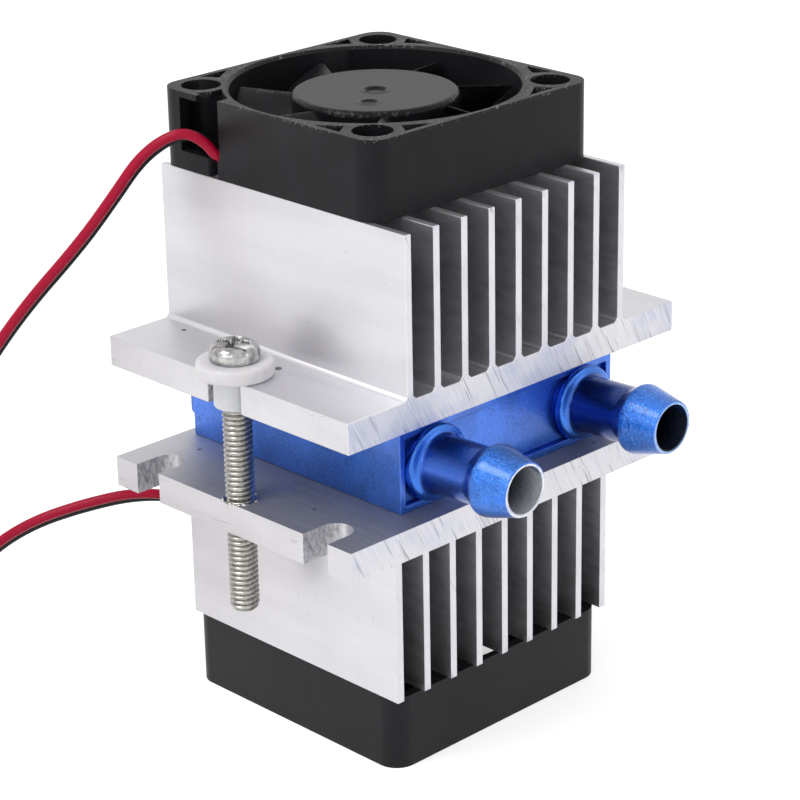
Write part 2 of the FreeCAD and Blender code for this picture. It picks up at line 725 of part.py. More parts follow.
def fan_impeller(label):
    """The impeller: a hub cup with a shaft boss and curved, pitched blades trimmed to a running gap."""
    body = new_body(label)
    cup = sketch_on(body, "XZ_Plane", label + "_cup")
    draw_outline(cup, [
        ("0", "hub_top"),
        ("hub_radius", "hub_top"),
        ("hub_radius", "hub_skirt_gap"),
        ("hub_inner_radius", "hub_skirt_gap"),
        ("hub_inner_radius", "hub_ceiling"),
        ("hub_boss_radius", "hub_ceiling"),
        ("hub_boss_radius", "hub_ceiling - hub_boss_height"),
        ("shaft_radius", "hub_ceiling - hub_boss_height"),
        ("shaft_radius", "hub_ceiling + shaft_seat"),
        ("0", "hub_ceiling + shaft_seat"),
    ])
    turn = revolve(body, cup)
    doc.recompute()
    rim = edges_where(turn.Shape, lambda edge: is_circle_at(edge, size("hub_radius"), size("hub_top")))
    dress(body, "Fillet", turn, rim, "Radius", "hub_edge_round")
    for name, radius, distance in (
        ("_dimple", "dimple_radius", "0"),
        ("_gate_mark", "gate_mark_radius", "gate_mark_distance"),
    ):
        mark = sketch_on(body, "XY_Plane", label + name, "hub_top")
        draw_circle(mark, radius, *turned(distance, "0", "gate_mark_angle"))
        pocket(body, mark, "dimple_depth", False)
    sections = []
    thick = "blade_thickness / 2"
    for name, distance, lead, trail in (
        ("_blade_root", "hub_radius - 0.6", "blade_root_lead", "-blade_root_trail"),
        ("_blade_tip", "blade_tip_radius + 0.5", "blade_tip_lead", "-blade_tip_trail"),
    ):
        section = sketch_on(body, "XZ_Plane", label + name, "-(%s)" % distance)
        middle = "(%s + %s) / 2 - blade_camber" % (lead, trail)
        height = "(blade_top + blade_bottom_gap) / 2"
        draw_outline(section, [
            (lead + " + " + thick, "blade_top"),
            (lead + " - " + thick, "blade_top"),
            (middle + " - " + thick, height),
            (trail + " - " + thick, "blade_bottom_gap"),
            (trail + " + " + thick, "blade_bottom_gap"),
            (middle + " + " + thick, height),
        ])
        sections.append(section)
    blade = body.newObject("PartDesign::AdditiveLoft", label + "_blade")
    blade.Profile = sections[0]
    blade.Sections = [sections[1]]
    blade.Ruled = True
    doc.recompute()
    repeat_round(body, blade, "blade_count")
    trim = sketch_on(body, "XZ_Plane", label + "_tip_trim")
    draw_outline(trim, rectangle("blade_tip_radius", "0", "blade_tip_radius + 5", "fan_height"))
    revolve(body, trim, "Groove")
    return body


def stator_core(label):
    """The laminated core: a disc with four slots that leave four poles, on the bearing tube."""
    body = new_body(label)
    disc = sketch_on(body, "XY_Plane", label + "_disc", "core_bottom")
    draw_circle(disc, "core_radius")
    draw_circle(disc, "bearing_tube_radius")
    pad(body, disc, "core_thickness")
    slot = sketch_on(body, "XY_Plane", label + "_slot", "core_bottom")
    near = "pole_width / 2"
    mouth = "slot_mouth / 2"
    draw_outline(slot, [
        (near, "slot_floor_radius"),
        (near, "slot_roof_radius"),
        ("slot_roof_radius * 0.66 - " + mouth, "slot_roof_radius * 0.66 + " + mouth),
        ("core_radius - " + mouth, "core_radius + " + mouth),
        ("core_radius + " + mouth, "core_radius - " + mouth),
        ("slot_roof_radius * 0.66 + " + mouth, "slot_roof_radius * 0.66 - " + mouth),
        ("slot_roof_radius", near),
        ("slot_floor_radius", near),
        ("slot_floor_radius * 0.72", "slot_floor_radius * 0.72"),
    ])
    repeat_round(body, pocket(body, slot, "core_thickness", True), "4")
    return body


def stator_windings(label):
    """Four coils of wire, each a rectangular ring round one pole."""
    wide = size("pole_width") / 2 + size("winding_thickness")
    near, far = size("winding_start"), size("winding_end")
    low = size("core_bottom") - size("winding_thickness")
    tall = size("core_thickness") + 2 * size("winding_thickness")
    outside = Part.makeBox(far - near, 2 * wide, tall, FreeCAD.Vector(near, -wide, low))
    pole = Part.makeBox(far - near, size("pole_width"), size("core_thickness"),
                        FreeCAD.Vector(near, -size("pole_width") / 2, size("core_bottom")))
    coil = outside.cut(pole)
    coils = []
    for quarter in range(4):
        turned_coil = coil.copy()
        turned_coil.rotate(FreeCAD.Vector(0, 0, 0), FreeCAD.Vector(0, 0, 1), 90 * quarter)
        coils.append(turned_coil)
    windings = doc.addObject("Part::Feature", label)
    windings.Label = label
    windings.Shape = Part.makeCompound(coils)
    return windings


def fan(prefix, upside_down):
    """One whole fan, placed on top of the upper sink or, upside down, under the lower one."""
    pieces = [
        fan_frame(prefix + "_fan_frame"),
        ring_of(prefix + "_fan_bearing", "bearing_radius", "shaft_radius + shaft_clearance",
                "motor_base_thickness", "bearing_tube_top"),
        ring_of(prefix + "_fan_circuit_board", "board_radius", "bearing_tube_radius",
                "motor_base_thickness", "motor_base_thickness + board_thickness"),
        stator_core(prefix + "_fan_stator_core"),
        stator_windings(prefix + "_fan_windings"),
        fan_impeller(prefix + "_fan_impeller"),
        pin_of(prefix + "_fan_shaft", "shaft_radius", "motor_base_thickness + shaft_end_gap",
               "hub_ceiling + shaft_seat"),
        ring_of(prefix + "_fan_rotor_yoke", "hub_inner_radius", "hub_inner_radius - yoke_thickness",
                "hub_skirt_gap", "hub_ceiling"),
        ring_of(prefix + "_fan_magnet_ring", "hub_inner_radius - yoke_thickness",
                "hub_inner_radius - yoke_thickness - magnet_thickness",
                "hub_skirt_gap", "hub_skirt_gap + magnet_height"),
    ]
    stand = FreeCAD.Rotation()
    if upside_down:
        stand = FreeCAD.Rotation(FreeCAD.Vector(1, -1, 0), 180)
    blades_to = FreeCAD.Rotation(FreeCAD.Vector(0, 0, 1), size("blade_first_angle") - 90)
    for item in pieces:
        own = blades_to if item.Label.endswith("impeller") else FreeCAD.Rotation()
        item.Placement = FreeCAD.Placement(FreeCAD.Vector(0, 0, 0), stand.multiply(own))
        bind(item, "Placement.Base.y", "lower_fan_shift" if upside_down else "upper_fan_shift")
        bind(item, "Placement.Base.z", "fan_height" if upside_down else "upper_fan_base")


# Leads, each from the circuit board out of the frame and down to a coil on the floor
def lead_tube(label, route):
    """A round tube of straight runs joined by tangent arcs, as a single solid."""
    points = [FreeCAD.Vector(*point) for point in route]
    edges, radii, here = [], [], points[0]
    for before, corner, after in zip(points, points[1:], points[2:]):
        arriving, leaving = corner - before, after - corner
        trim = 0.45 * min(arriving.Length, leaving.Length)
        turn = arriving.getAngle(leaving)
        arriving.normalize()
        leaving.normalize()
        radii.append(trim / math.tan(turn / 2))
        start, end = corner - arriving * trim, corner + leaving * trim
        inward = (leaving - arriving).normalize()
        sagitta = radii[-1] / math.cos(turn / 2) - radii[-1]
        edges.append(Part.LineSegment(here, start).toShape())
        edges.append(Part.Arc(start, corner + inward * sagitta, end).toShape())
        here = end
    edges.append(Part.LineSegment(here, points[-1]).toShape())
    path = Part.Wire(edges)
    section = Part.Wire(Part.makeCircle(size("lead_radius"), points[0], points[1] - points[0]))
    tube = path.makePipeShell([section], True, True)
    wanted = math.pi * size("lead_radius") ** 2 * path.Length
    print(label, "length", round(path.Length, 1), "smallest radius", round(min(radii), 2),
          "volume ratio", round(tube.Volume / wanted, 4))
    lead = doc.addObject("Part::Feature", label)
    lead.Label = label
    lead.Shape = tube


def lead_coil(label, x, y, turns):
    """The outer shape of a flat coil of both leads lying on the floor."""
    half = "(%s * coil_height / 4 + lead_radius)" % turns
    ring = ring_of(label, "coil_turn_radius + " + half, "coil_turn_radius - " + half, "0", "coil_height")
    ring.Placement = FreeCAD.Placement(FreeCAD.Vector(x, y, 0), FreeCAD.Rotation())


def lead_plug(label, x, y, along_x):
    """The two-way plug lying on its coil, with its wires' side towards the coil's middle."""
    gap, shift = "coil_plug_gap", "coil_side_shift"
    end = gap + " + plug_length"
    near, far = shift + " - plug_width / 2", shift + " + plug_width / 2"
    low, high = ((gap, near), (end, far)) if along_x else ((near, gap), (far, end))
    box_of(label, ("%s + %s" % (x, low[0]), "%s + %s" % (y, low[1]), "coil_height"),
           ("%s + %s" % (x, high[0]), "%s + %s" % (y, high[1]), "coil_height + plug_height"))


# Build every piece
for label, fins_up, inset, width, depth, centres, drilled, height in (
    ("upper_heat_sink", True, "0", "upper_slot_width", "upper_slot_depth", ["0"], False, "upper_plate_bottom"),
    ("lower_heat_sink", False, "lower_fin_inset", "lower_slot_width", "lower_slot_depth",
     ["-lower_slot_spacing / 2", "lower_slot_spacing / 2"], True, "lower_plate_bottom"),
):
    bind(heat_sink(label, fins_up, inset, width, depth, centres, drilled), "Placement.Base.z", height)
water_block()
hose_barb("left_barb", "-")
hose_barb("right_barb", "+")
ceramic_plate("element_cold_plate", "element_bottom", "pellet_bottom")
ceramic_plate("element_hot_plate", "pellet_top", "upper_plate_bottom")
pellet_grid()
for side, hand in (("left", "-"), ("right", "")):
    clamp_screw(side + "_clamp_screw", hand)
    shoulder_washer(side + "_shoulder_washer", hand)
fan("upper", False)
fan("lower", True)

lead_tube("upper_red_lead", [
    (-9.11, 7.11, 76.77), (-13.62, 9.27, 76.78), (-19.2, 11.95, 76.8), (-20.4, 13.2, 79.4),
    (-22.6, 15.5, 80.9), (-26.1, 19.0, 78.0), (-29.1, 22.0, 72.0), (-32.3, 25.3, 65.9),
    (-38.0, 31.1, 56.9), (-42.6, 35.8, 47.6), (-46.2, 39.3, 37.6), (-48.0, 41.0, 27.0),
    (-48.7, 41.7, 17.0), (-49.9, 42.8, 9.2), (-52.6, 45.4, 3.9), (-56.2, 49.0, 2.25),
])
lead_tube("upper_black_lead", [
    (-9.11, 7.11, 75.33), (-14.95, 9.91, 75.33), (-17.3, 13.2, 75.9), (-18.6, 14.6, 79.0),
    (-21.55, 16.6, 80.15), (-25.15, 20.0, 77.0), (-28.15, 23.0, 71.0), (-31.35, 26.3, 64.9),
    (-37.05, 32.1, 55.9), (-41.65, 36.8, 46.6), (-45.1, 40.4, 36.8), (-46.9, 42.1, 26.6),
    (-47.6, 42.8, 16.6), (-48.9, 43.9, 8.3), (-51.75, 46.25, 2.6), (-56.2, 49.0, 0.75),
])
lead_tube("lower_red_lead", [
    (-4.36, 9.61, 9.6), (-6.27, 13.58, 9.62), (-8.3, 17.81, 9.62), (-10.46, 22.32, 9.6),
    (-12.6, 26.5, 13.2), (-12.1, 26.4, 18.6), (-13.6, 27.8, 23.0), (-18.9, 32.9, 24.2),
    (-24.4, 38.3, 22.5), (-30.0, 43.8, 19.8), (-34.6, 48.3, 15.5), (-37.6, 51.3, 9.8),
    (-41.0, 54.6, 4.6), (-45.6, 59.2, 2.25),
])
lead_tube("lower_black_lead", [
    (-4.36, 9.61, 8.15), (-6.27, 13.58, 8.17), (-8.3, 17.81, 8.17), (-10.67, 22.77, 8.15),
    (-11.6, 27.5, 12.3), (-11.0, 27.5, 18.3), (-12.8, 29.2, 22.3), (-18.05, 33.8, 23.1),
    (-23.5, 39.2, 21.4), (-29.1, 44.7, 18.7), (-33.7, 49.2, 14.4), (-36.65, 52.3, 8.8),
    (-40.1, 55.5, 3.4), (-45.6, 59.2, 0.75),
])
lead_coil("upper_lead_coil", -62.8, 42.4, "2.7")
lead_plug("upper_lead_plug", -62.8, 42.4, False)
lead_coil("lower_lead_coil", -38.5, 66.3, "3.2")
lead_plug("lower_lead_plug", -38.5, 66.3, True)

FAN_NODES = ["fan_frame", "fan_bearing", "fan_circuit_board", "fan_stator_core", "fan_windings",
             "fan_impeller", "fan_shaft", "fan_rotor_yoke", "fan_magnet_ring",
             "red_lead", "black_lead", "lead_coil", "lead_plug"]
NODES = ["upper_heat_sink", "lower_heat_sink", "water_block_body", "water_block_front_cap",
         "water_block_rear_cap", "left_barb", "right_barb", "element_cold_plate", "element_hot_plate",
         "element_pellets", "left_clamp_screw", "right_clamp_screw", "left_shoulder_washer",
         "right_shoulder_washer"]
NODES += [side + "_" + name for side in ("upper", "lower") for name in FAN_NODES]

doc.recompute()
doc.recompute()
for item in doc.Objects:
    if "Invalid" in item.State or "Error" in item.State:
        raise RuntimeError("%s did not compute: %s" % (item.Name, item.State))
os.makedirs("parts", exist_ok=True)
for node in NODES:
    shape = doc.getObjectsByLabel(node)[0].Shape
    if shape.isNull() or not shape.isValid() or shape.Volume <= 0:
        raise RuntimeError(node + " has no valid solid")
    shape.exportStep("parts/" + node + ".step")
    box = shape.BoundBox
    print("%-24s solids %2d volume %9.2f  x %7.2f %7.2f  y %7.2f %7.2f  z %7.2f %7.2f" % (
        node, len(shape.Solids), shape.Volume, box.XMin, box.XMax, box.YMin, box.YMax, box.ZMin, box.ZMax))
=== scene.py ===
# %% [markdown]
# # Thermoelectric cooling module
#
# A water block sits between two finned aluminium heat sinks, two screws clamp the stack, and a small fan blows
# through each sink. The packed CAD model is loaded as a fixed frame in metres. Where its shapes are already right
# they get a finish, and where the real piece is rounder, rougher or finer, a new piece takes their place.

# %% Load the frame
import math

import bmesh
import bpy
import numpy as np
from mathutils import Matrix


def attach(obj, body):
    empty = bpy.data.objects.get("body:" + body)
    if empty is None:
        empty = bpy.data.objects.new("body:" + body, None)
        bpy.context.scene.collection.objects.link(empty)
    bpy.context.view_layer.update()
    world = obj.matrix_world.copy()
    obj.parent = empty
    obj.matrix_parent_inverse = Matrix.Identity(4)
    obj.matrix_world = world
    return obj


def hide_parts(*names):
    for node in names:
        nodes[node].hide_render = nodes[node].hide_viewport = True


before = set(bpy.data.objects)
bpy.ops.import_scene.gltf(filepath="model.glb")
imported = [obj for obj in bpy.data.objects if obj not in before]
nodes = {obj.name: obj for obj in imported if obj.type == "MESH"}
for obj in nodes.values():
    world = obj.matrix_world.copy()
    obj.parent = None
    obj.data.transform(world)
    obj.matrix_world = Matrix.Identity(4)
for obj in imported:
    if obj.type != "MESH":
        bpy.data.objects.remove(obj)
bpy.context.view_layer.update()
MM = 0.001

# %% [markdown]
# The photograph was taken with a long lens from the front left, a little above the part. The camera's place was
# worked out from the plates' corners, so edges in the render fall where they fall in the photograph. A camera is
# given by where it looks, from which side, from how far, and how much it is rolled.

# %% Camera
AZIMUTH, ELEVATION, ROLL = math.radians(-44.222), math.radians(21.629), math.radians(-1.03)
DISTANCE, AIM_HEIGHT, AIM_RIGHT, AIM_UP = 365.97, 40.0, 0.54, 1.32
SENSOR_WIDTH, FOCAL_PIXELS, PHOTO_PIXELS = 36.0, 2710.92, 800

level = math.cos(ELEVATION)
back = np.array([math.sin(AZIMUTH) * level, -math.cos(AZIMUTH) * level, math.sin(ELEVATION)])
level_right = np.cross([0, 0, 1.0], back)
level_right /= np.linalg.norm(level_right)
level_up = np.cross(back, level_right)
right = math.cos(ROLL) * level_right + math.sin(ROLL) * level_up
up = -math.sin(ROLL) * level_right + math.cos(ROLL) * level_up
target = (np.array([0, 0, AIM_HEIGHT]) + AIM_RIGHT * level_right + AIM_UP * level_up) * MM
camera = bpy.data.objects.new("camera", bpy.data.cameras.new("camera"))
bpy.context.scene.collection.objects.link(camera)
camera.data.sensor_width = SENSOR_WIDTH
camera.data.lens = SENSOR_WIDTH * FOCAL_PIXELS / PHOTO_PIXELS
camera.data.clip_start, camera.data.clip_end = 0.01, 20
place = np.eye(4)
place[:3, 0], place[:3, 1], place[:3, 2], place[:3, 3] = right, up, back, target + back * DISTANCE * MM
camera.matrix_world = Matrix(place.tolist())
bpy.context.scene.camera = camera
print("camera at", np.round(place[:3, 3], 4))

# %% [markdown]
# A material is a small graph of shader nodes. Written as plain sums it is easier to read, so one class wraps a
# socket and turns Python's operators into Math nodes, and another holds the material and adds any other node.

# %% Shader sums


class Signal:
    """A number that changes over the surface: adding or multiplying signals adds Math nodes."""

    def __init__(self, shade, socket):
        self.shade, self.socket = shade, socket

    def math(self, operation, *values):
        """One Math node on this signal and the further values."""
        return self.shade.node("ShaderNodeMath", {"operation": operation}, dict(enumerate((self,) + values)))[0]

    def __add__(self, other):
        return self.math("ADD", other)

    def __sub__(self, other):
        return self.math("SUBTRACT", other)

    def __mul__(self, other):
        return self.math("MULTIPLY", other)

    def __truediv__(self, other):
        return self.math("DIVIDE", other)

    def __rsub__(self, other):
        return self.shade.node("ShaderNodeMath", {"operation": "SUBTRACT"}, {0: other, 1: self})[0]

    __radd__ = __add__
    __rmul__ = __mul__

    def size(self):
        """The signal without its sign."""
        return self.math("ABSOLUTE")

    def ramp(self, low, high, to_low=0.0, to_high=1.0):
        """A smooth step from to_low where the signal is low, to to_high where it is high."""
        settings = {"interpolation_type": "SMOOTHSTEP"}
        values = {"Value": self, "From Min": low, "From Max": high, "To Min": to_low, "To Max": to_high}
        return self.shade.node("ShaderNodeMapRange", settings, values)[0]


def distance(*parts):
    """How far a point lies from where every part is 0: the square root of the sum of the parts' squares."""
    total = parts[0] * parts[0]
    for part in parts[1:]:
        total = total + part * part
    return total.math("SQRT")


class Finish:
    """A material around one Principled shader, with the object's own coordinates at hand."""

    def __init__(self, name, **constants):
        self.material = bpy.data.materials.new(name)
        self.material.use_nodes = True
        self.tree = self.material.node_tree
        self.shader = self.tree.nodes["Principled BSDF"]
        self.coordinates = self.node("ShaderNodeTexCoord", {}, {})["Object"]
        for socket, value in constants.items():
            self.shader.inputs[socket.replace("_", " ")].default_value = value

    def node(self, kind, settings, inputs):
        """Adds a node: settings first, then each input's value or link; gives its outputs by number or name."""
        made = self.tree.nodes.new(kind)
        for key, value in settings.items():
            setattr(made, key, value)
        for key, value in inputs.items():
            if isinstance(value, Signal):
                self.tree.links.new(value.socket, made.inputs[key])
            else:
                made.inputs[key].default_value = value
        outputs = {}
        for number, socket in enumerate(made.outputs):
            outputs[number] = outputs[socket.name] = Signal(self, socket)
        return outputs

    def noise(self, size, detail=3.0, stretch=(1, 1, 1), roughness=0.5):
        """Cloudy noise whose grain is about size metres, stretched along the axes."""
        scale = [1 / (size * s) for s in stretch]
        grown = self.node("ShaderNodeMapping", {}, {"Vector": self.coordinates, "Scale": scale})[0]
        values = {"Vector": grown, "Scale": 1.0, "Detail": detail, "Roughness": roughness}
        return self.node("ShaderNodeTexNoise", {}, values)[0]

    def grain_along(self, across, along, width, length, detail=3.0):
        """Noise in long thin grains: width metres across one signal and length metres along the other."""
        place = self.node("ShaderNodeCombineXYZ", {}, {0: across / width, 1: along / length})[0]
        return self.node("ShaderNodeTexNoise", {}, {"Vector": place, "Scale": 1.0, "Detail": detail})[0]

    def scattered(self, apart):
        """Distance to the nearest of scattered points, as a share of the metres that they lie apart."""
        return self.node("ShaderNodeTexVoronoi", {}, {"Vector": self.coordinates, "Scale": 1 / apart})["Distance"]

    def xyz(self):
        """The three object coordinates as signals."""
        parts = self.node("ShaderNodeSeparateXYZ", {}, {0: self.coordinates})
        return parts[0], parts[1], parts[2]

    def facing(self):
        """The surface normal's three parts."""
        normal = self.node("ShaderNodeNewGeometry", {}, {})["Normal"]
        parts = self.node("ShaderNodeSeparateXYZ", {}, {0: normal})
        return parts[0], parts[1], parts[2]

    def blend(self, mask, first, second):
        """Colour first where the mask is 0 and second where it is 1."""
        as_rgba = [c if isinstance(c, Signal) else (*c, 1.0) for c in (first, second)]
        settings = {"data_type": "RGBA"}
        return self.node("ShaderNodeMix", settings, {0: mask, 6: as_rgba[0], 7: as_rgba[1]})[2]

    def put(self, socket, value):
        """Links a signal, or writes a value, to the Principled shader."""
        if isinstance(value, Signal):
            self.tree.links.new(value.socket, self.shader.inputs[socket])
        else:
            self.shader.inputs[socket].default_value = value

    def linked(self, socket):
        """The signal that feeds a socket of the Principled shader so far."""
        return Signal(self, self.shader.inputs[socket].links[0].from_socket)

    def bump(self, height, depth):
        """Pushes the surface in and out by up to depth metres where height goes from 0 to 1."""
        made = self.node("ShaderNodeBump", {}, {"Height": height, "Distance": depth, "Strength": 1.0})
        self.put("Normal", made[0])


def scaled(colour, share):
    """A colour made darker or lighter, with every part held at 1 or less."""
    return [min(1, c * share) for c in colour]


print("operators on sockets:", [name for name in vars(Signal) if name.startswith("__r")])

# %% [markdown]
# New pieces are grids of points worked out by numpy. A grid closes on itself where it runs round an axis, several
# grids make one mesh, and touching points are merged so that poles and seams are tight.

# %% Meshes from grids


def grid_faces(rows, columns, wrap_rows=False, wrap_columns=False, start=0):
    """Four-sided faces between neighbouring points of a rows by columns grid, as whole arrays."""
    i = np.arange(rows if wrap_rows else rows - 1)[:, None]
    j = np.arange(columns if wrap_columns else columns - 1)[None, :]
    i2, j2 = (i + 1) % rows, (j + 1) % columns
    corners = (i * columns + j, i2 * columns + j, i2 * columns + j2, i * columns + j2)
    return np.stack(np.broadcast_arrays(*corners), -1).reshape(-1, 4) + start


def tidy(mesh, outward=True, flat_angle=None):
    """Merges touching points, drops empty faces, and turns the faces outwards."""
    work = bmesh.new()
    work.from_mesh(mesh)
    bmesh.ops.remove_doubles(work, verts=work.verts, dist=2e-6)
    bmesh.ops.dissolve_degenerate(work, edges=work.edges, dist=1e-6)
    if flat_angle:
        bmesh.ops.dissolve_limit(work, angle_limit=math.radians(flat_angle), verts=work.verts, edges=work.edges)
    if outward:
        bmesh.ops.recalc_face_normals(work, faces=work.faces)
    work.to_mesh(mesh)
    work.free()


def show(name, mesh, finish, body, replaces=(), smooth_angle=35):
    """Puts the mesh in the scene with its finish and lets it ride on a CAD body."""
    made = bpy.data.objects.new(name, mesh)
    bpy.context.scene.collection.objects.link(made)
    mesh.materials.clear()
    mesh.materials.append(finish.material)
    mesh.shade_smooth()
    mesh.set_sharp_from_angle(angle=math.radians(smooth_angle))
    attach(made, body)
    if replaces:
        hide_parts(*replaces)
    return made


def piece(name, grids, finish, body, replaces=(), smooth_angle=35, outward=True):
    """A mesh piece from (points, wrap rows, wrap columns) grids in millimetres, riding on a CAD body."""
    points, faces, count = [], [], 0
    for grid, wrap_rows, wrap_columns in grids:
        faces.append(grid_faces(grid.shape[0], grid.shape[1], wrap_rows, wrap_columns, count))
        points.append(grid.reshape(-1, 3))
        count += len(points[-1])
    mesh = bpy.data.meshes.new(name)
    mesh.from_pydata((np.vstack(points) * MM).tolist(), [], np.vstack(faces).tolist())
    tidy(mesh, outward)
    return show(name, mesh, finish, body, replaces, smooth_angle)


def lathe(profile, centre=(0, 0, 0), axis="z", steps=96):
    """A grid of the (radius, height) profile turned round an axis through the centre.

    Across the axis a point lies at its radius times the cosine and the sine of the angle, and along it at its height.
    Round y the height counts towards the front.
    """
    profile = np.asarray(profile, float)
    angle = np.linspace(0, 2 * np.pi, steps, endpoint=False)
    r, h = profile[:, 0][:, None], np.repeat(profile[:, 1][:, None], steps, 1)
    around, across = r * np.cos(angle), r * np.sin(angle)
    if axis == "z":
        points = np.stack([around, across, h], -1)
    else:
        points = np.stack([around, -h, across], -1)
    return points + np.asarray(centre, float), False, True


def rounded(corners, radius, steps=5):
    """A profile whose inner corners are replaced by arcs; radius is one value or one for each inner corner.

    An arc is a quadratic curve from one side of the corner to the other, with the corner as its pull.
    """
    corners = np.asarray(corners, float)
    cuts = np.broadcast_to(radius, len(corners) - 2)
    out = [corners[0]]
    for before, corner, after, cut in zip(corners, corners[1:], corners[2:], cuts):
        a, b = before - corner, after - corner
        cut = min(cut, 0.45 * np.linalg.norm(a), 0.45 * np.linalg.norm(b))
        p, q = corner + a / np.linalg.norm(a) * cut, corner + b / np.linalg.norm(b) * cut
        t = np.linspace(0, 1, steps)[:, None]
        out.extend((1 - t) ** 2 * p + 2 * t * (1 - t) * corner + t**2 * q)
    out.append(corners[-1])
    return np.array(out)


def softened(name, node, finish, body, width, segments=2, angle=40):
    """A copy of a CAD node with its edges broken by a small bevel, which catches the light as real edges do."""
    mesh = nodes[node].data.copy()
    mesh.transform(nodes[node].matrix_world)
    tidy(mesh, outward=False, flat_angle=0.5)
    made = show(name, mesh, finish, body, (node,))
    bevel = made.modifiers.new("edges", "BEVEL")
    bevel.width, bevel.segments = width * MM, segments
    bevel.limit_method, bevel.angle_limit = "ANGLE", math.radians(angle)
    bevel.harden_normals = True
    return made


print("a grid of 3 by 4 points has", len(grid_faces(3, 4)), "faces, and", len(grid_faces(3, 4, wrap_columns=True)),
      "when it closes round an axis")

# %% [markdown]
# The black parts of both fans are injection moulded: a satin black with a very fine grain, slightly lighter where
# edges have rubbed and where a highlight is painted on them. Grain is bump; wear and painted highlight are a
# lighter colour gated by noise, so that they break into specks.

# %% Black plastic
UPPER_FAN, LOWER_FAN = (0, 2.75, 74.6), (0, 0.5, 10.4)
FRAME_RIM, HUB_EDGE, HUB_SHOULDER = 84.55, 10.2, 83.0


def black_plastic(name, colour, rough, wear_and_highlight_above=None, gloss=0.2):
    """Satin black with fine grain, faint clouds, and specks of wear and painted highlight above a height in
    millimetres.
    """
    finish = Finish(name, Specular_IOR_Level=gloss)
    clouds = finish.noise(0.006, 4)
    grain = finish.noise(0.00022, 2)
    base = finish.blend(clouds.ramp(0.3, 0.7), scaled(colour, 0.85), scaled(colour, 1.18))
    if wear_and_highlight_above is not None:
        height = finish.xyz()[2]
        specks = finish.noise(0.00045, 5, roughness=0.75).ramp(0.56, 0.66)
        patches = finish.noise(0.006, 2).ramp(0.36, 0.6)
        # Light specks above the height: rubbed wear, and a painted highlight along the top edge.
        wear_and_highlight = height.ramp(wear_and_highlight_above * MM, (wear_and_highlight_above + 0.35) * MM) * specks * patches
        base = finish.blend(wear_and_highlight, base, (0.42, 0.42, 0.42))
    finish.put("Base Color", base)
    finish.put("Roughness", grain * 0.1 + (rough - 0.05))
    finish.bump(grain * 0.6 + clouds * 0.4, 0.00002)
    return finish


def hub_edge_wear_and_highlight(finish):
    """Lightens specks on the upper hub's outer edge: rubbed wear, and a painted highlight on the rounded rim."""
    x, y, z = finish.xyz()
    from_axis = distance(x, y - UPPER_FAN[1] * MM)
    edge = from_axis.ramp(HUB_EDGE * MM, (HUB_EDGE + 0.4) * MM) * z.ramp(HUB_SHOULDER * MM, (HUB_SHOULDER + 0.5) * MM)
    specks = finish.noise(0.0005, 5, roughness=0.75).ramp(0.5, 0.62) * finish.noise(0.004, 2).ramp(0.4, 0.6)
    # The light specks on the rim are partly wear and partly a painted highlight.
    finish.put("Base Color", finish.blend(edge * specks * 0.35, finish.linked("Base Color"), (0.4, 0.4, 0.41)))


upper_plastic = black_plastic("upper_fan_plastic", (0.0108, 0.0104, 0.0128), 0.4, wear_and_highlight_above=FRAME_RIM, gloss=0.15)
lower_plastic = black_plastic("lower_fan_plastic", (0.0098, 0.0094, 0.0118), 0.42)
rotor_plastic = black_plastic("impeller_plastic", (0.0118, 0.0115, 0.0138), 0.3, gloss=0.11)
hub_edge_wear_and_highlight(rotor_plastic)
print("black plastics made")

# %% [markdown]
# The heat sinks are plain extruded aluminium. The extrusion leaves fine streaks along Y on every face that the die
# made. The two end faces and the slots were sawn and milled, so they carry coarser diagonal marks. Between the fins
# little light gets in, and the faces there are painted dark as shade, in patches. The sawn ends carry a painted
# bluish reflection, and a plate's shaded upper face is painted grey.

# %% Aluminium
FIN_SIDE, FLANGE_SLOTS, FLANGE_EDGE, CUT_END = 20.0, 22.5, 30.0, 22.4


